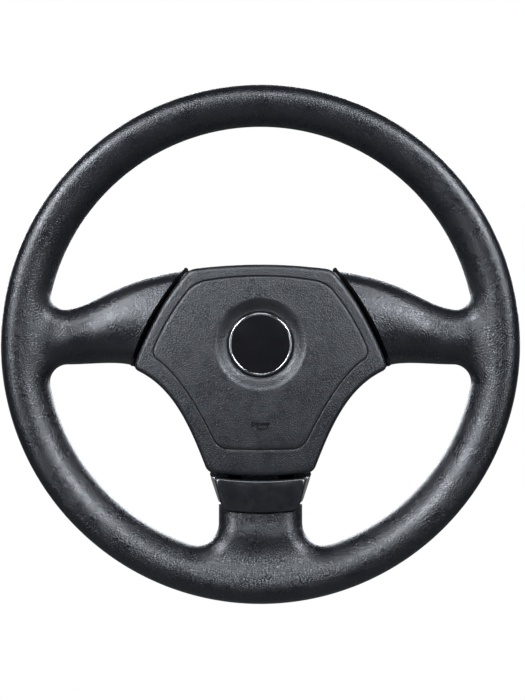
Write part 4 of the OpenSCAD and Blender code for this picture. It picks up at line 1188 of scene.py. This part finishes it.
def make_world():
    world = bpy.data.worlds.new("studio")
    bpy.context.scene.world = world
    world.use_nodes = True
    tree = world.node_tree
    tree.nodes.clear()
    seen, room = tree.nodes.new("ShaderNodeBackground"), tree.nodes.new("ShaderNodeBackground")
    for light, strength in ((seen, 1.0), (room, ROOM_LIGHT)):
        light.inputs["Color"].default_value = WHITE
        light.inputs["Strength"].default_value = strength
    way = tree.nodes.new("ShaderNodeTexCoord")
    split = tree.nodes.new("ShaderNodeSeparateXYZ")
    tree.links.new(way.outputs["Generated"], split.inputs["Vector"])
    behind = tree.nodes.new("ShaderNodeMapRange")
    behind.interpolation_type = "SMOOTHSTEP"
    behind.inputs["From Min"].default_value = BACKDROP_FROM
    behind.inputs["From Max"].default_value = BACKDROP_FULL
    tree.links.new(split.outputs["Y"], behind.inputs["Value"])
    blend, out = tree.nodes.new("ShaderNodeMixShader"), tree.nodes.new("ShaderNodeOutputWorld")
    in_gloss = joined(tree, "MULTIPLY", behind.outputs["Result"], BACKDROP_IN_GLOSS)
    tree.links.new(backdrop_share(tree, in_gloss), blend.inputs[0])
    tree.links.new(room.outputs[0], blend.inputs[1])
    tree.links.new(seen.outputs[0], blend.inputs[2])
    tree.links.new(blend.outputs[0], out.inputs[0])


def make_floor():
    mesh = bpy.data.meshes.new("floor")
    form = bmesh.new()
    bmesh.ops.create_circle(form, cap_ends=True, radius=FLOOR_R, segments=FLOOR_SIDES)
    form.to_mesh(mesh)
    form.free()
    floor = bpy.data.objects.new("floor", mesh)
    floor.location.z = FLOOR_Z
    bpy.context.scene.collection.objects.link(floor)
    material = bpy.data.materials.new("pale_floor")
    material.use_nodes = True
    tree = material.node_tree
    paint = tree.nodes["Principled BSDF"]
    paint.inputs["Base Color"].default_value = FLOOR_PAINT
    paint.inputs["Roughness"].default_value = FLOOR_ROUGH
    glow = tree.nodes.new("ShaderNodeEmission")
    clear = backdrop_share(tree, 0.0)
    rays = tree.nodes.new("ShaderNodeLightPath").outputs
    hush = joined(tree, "MULTIPLY", rays["Is Glossy Ray"], FLOOR_HUSH)
    share = joined(tree, "MAXIMUM", joined(tree, "MULTIPLY", clear, FLOOR_GLOW), hush)
    tree.links.new(joined(tree, "MAXIMUM", clear, FLOOR_IN_GLOSS), glow.inputs["Strength"])
    blend = tree.nodes.new("ShaderNodeMixShader")
    tree.links.new(share, blend.inputs[0])
    tree.links.new(paint.outputs[0], blend.inputs[1])
    tree.links.new(glow.outputs[0], blend.inputs[2])
    tree.links.new(blend.outputs[0], tree.nodes["Material Output"].inputs[0])
    mesh.materials.append(material)


def soft_box(name, clock, off_axis, size, watts):
    """A lamp at an angle round the wheel, from three o'clock, and an angle off its axis: 0 is
    straight before the face, 180 straight behind."""
    middle = Vector((0, -RIM_Z * MM, 0))
    (right, up), (ahead, aside) = wave(clock), wave(off_axis)
    lamp = bpy.data.lights.new(name, "AREA")
    lamp.shape, lamp.size, lamp.size_y, lamp.energy = "RECTANGLE", *size, watts
    lamp.color = LAMP_TINT
    box = bpy.data.objects.new(name, lamp)
    bpy.context.scene.collection.objects.link(box)
    box.location = middle + BOX_FAR * Vector((aside * right, -ahead, aside * up))
    box.rotation_euler = (middle - box.location).to_track_quat("-Z", "Y").to_euler()


make_world()
make_floor()
for soft_box_row in SOFT_BOXES:
    soft_box(*soft_box_row)


# Camera: head-on with a long lens, and the wheel where the photograph has it

IMAGE_W = 525
IMAGE_H = 700
WHEEL_W_PX = 518
WHEEL_AT_PX = (260.5, 344.35)
CAMERA_FAR = 2.4
SENSOR = 36.0

px = 2 * RIM_R * MM / WHEEL_W_PX
lens = bpy.data.cameras.new("camera")
lens.sensor_width = SENSOR
lens.lens = SENSOR * CAMERA_FAR / (IMAGE_H * px)
camera = bpy.data.objects.new("camera", lens)
bpy.context.scene.collection.objects.link(camera)
camera.location = ((IMAGE_W / 2 - WHEEL_AT_PX[0]) * px, -CAMERA_FAR - RIM_Z * MM,
                   (WHEEL_AT_PX[1] - IMAGE_H / 2) * px)
camera.rotation_euler = (math.pi / 2, 0, 0)
bpy.context.scene.camera = camera
bpy.context.scene.view_settings.view_transform = "Standard"
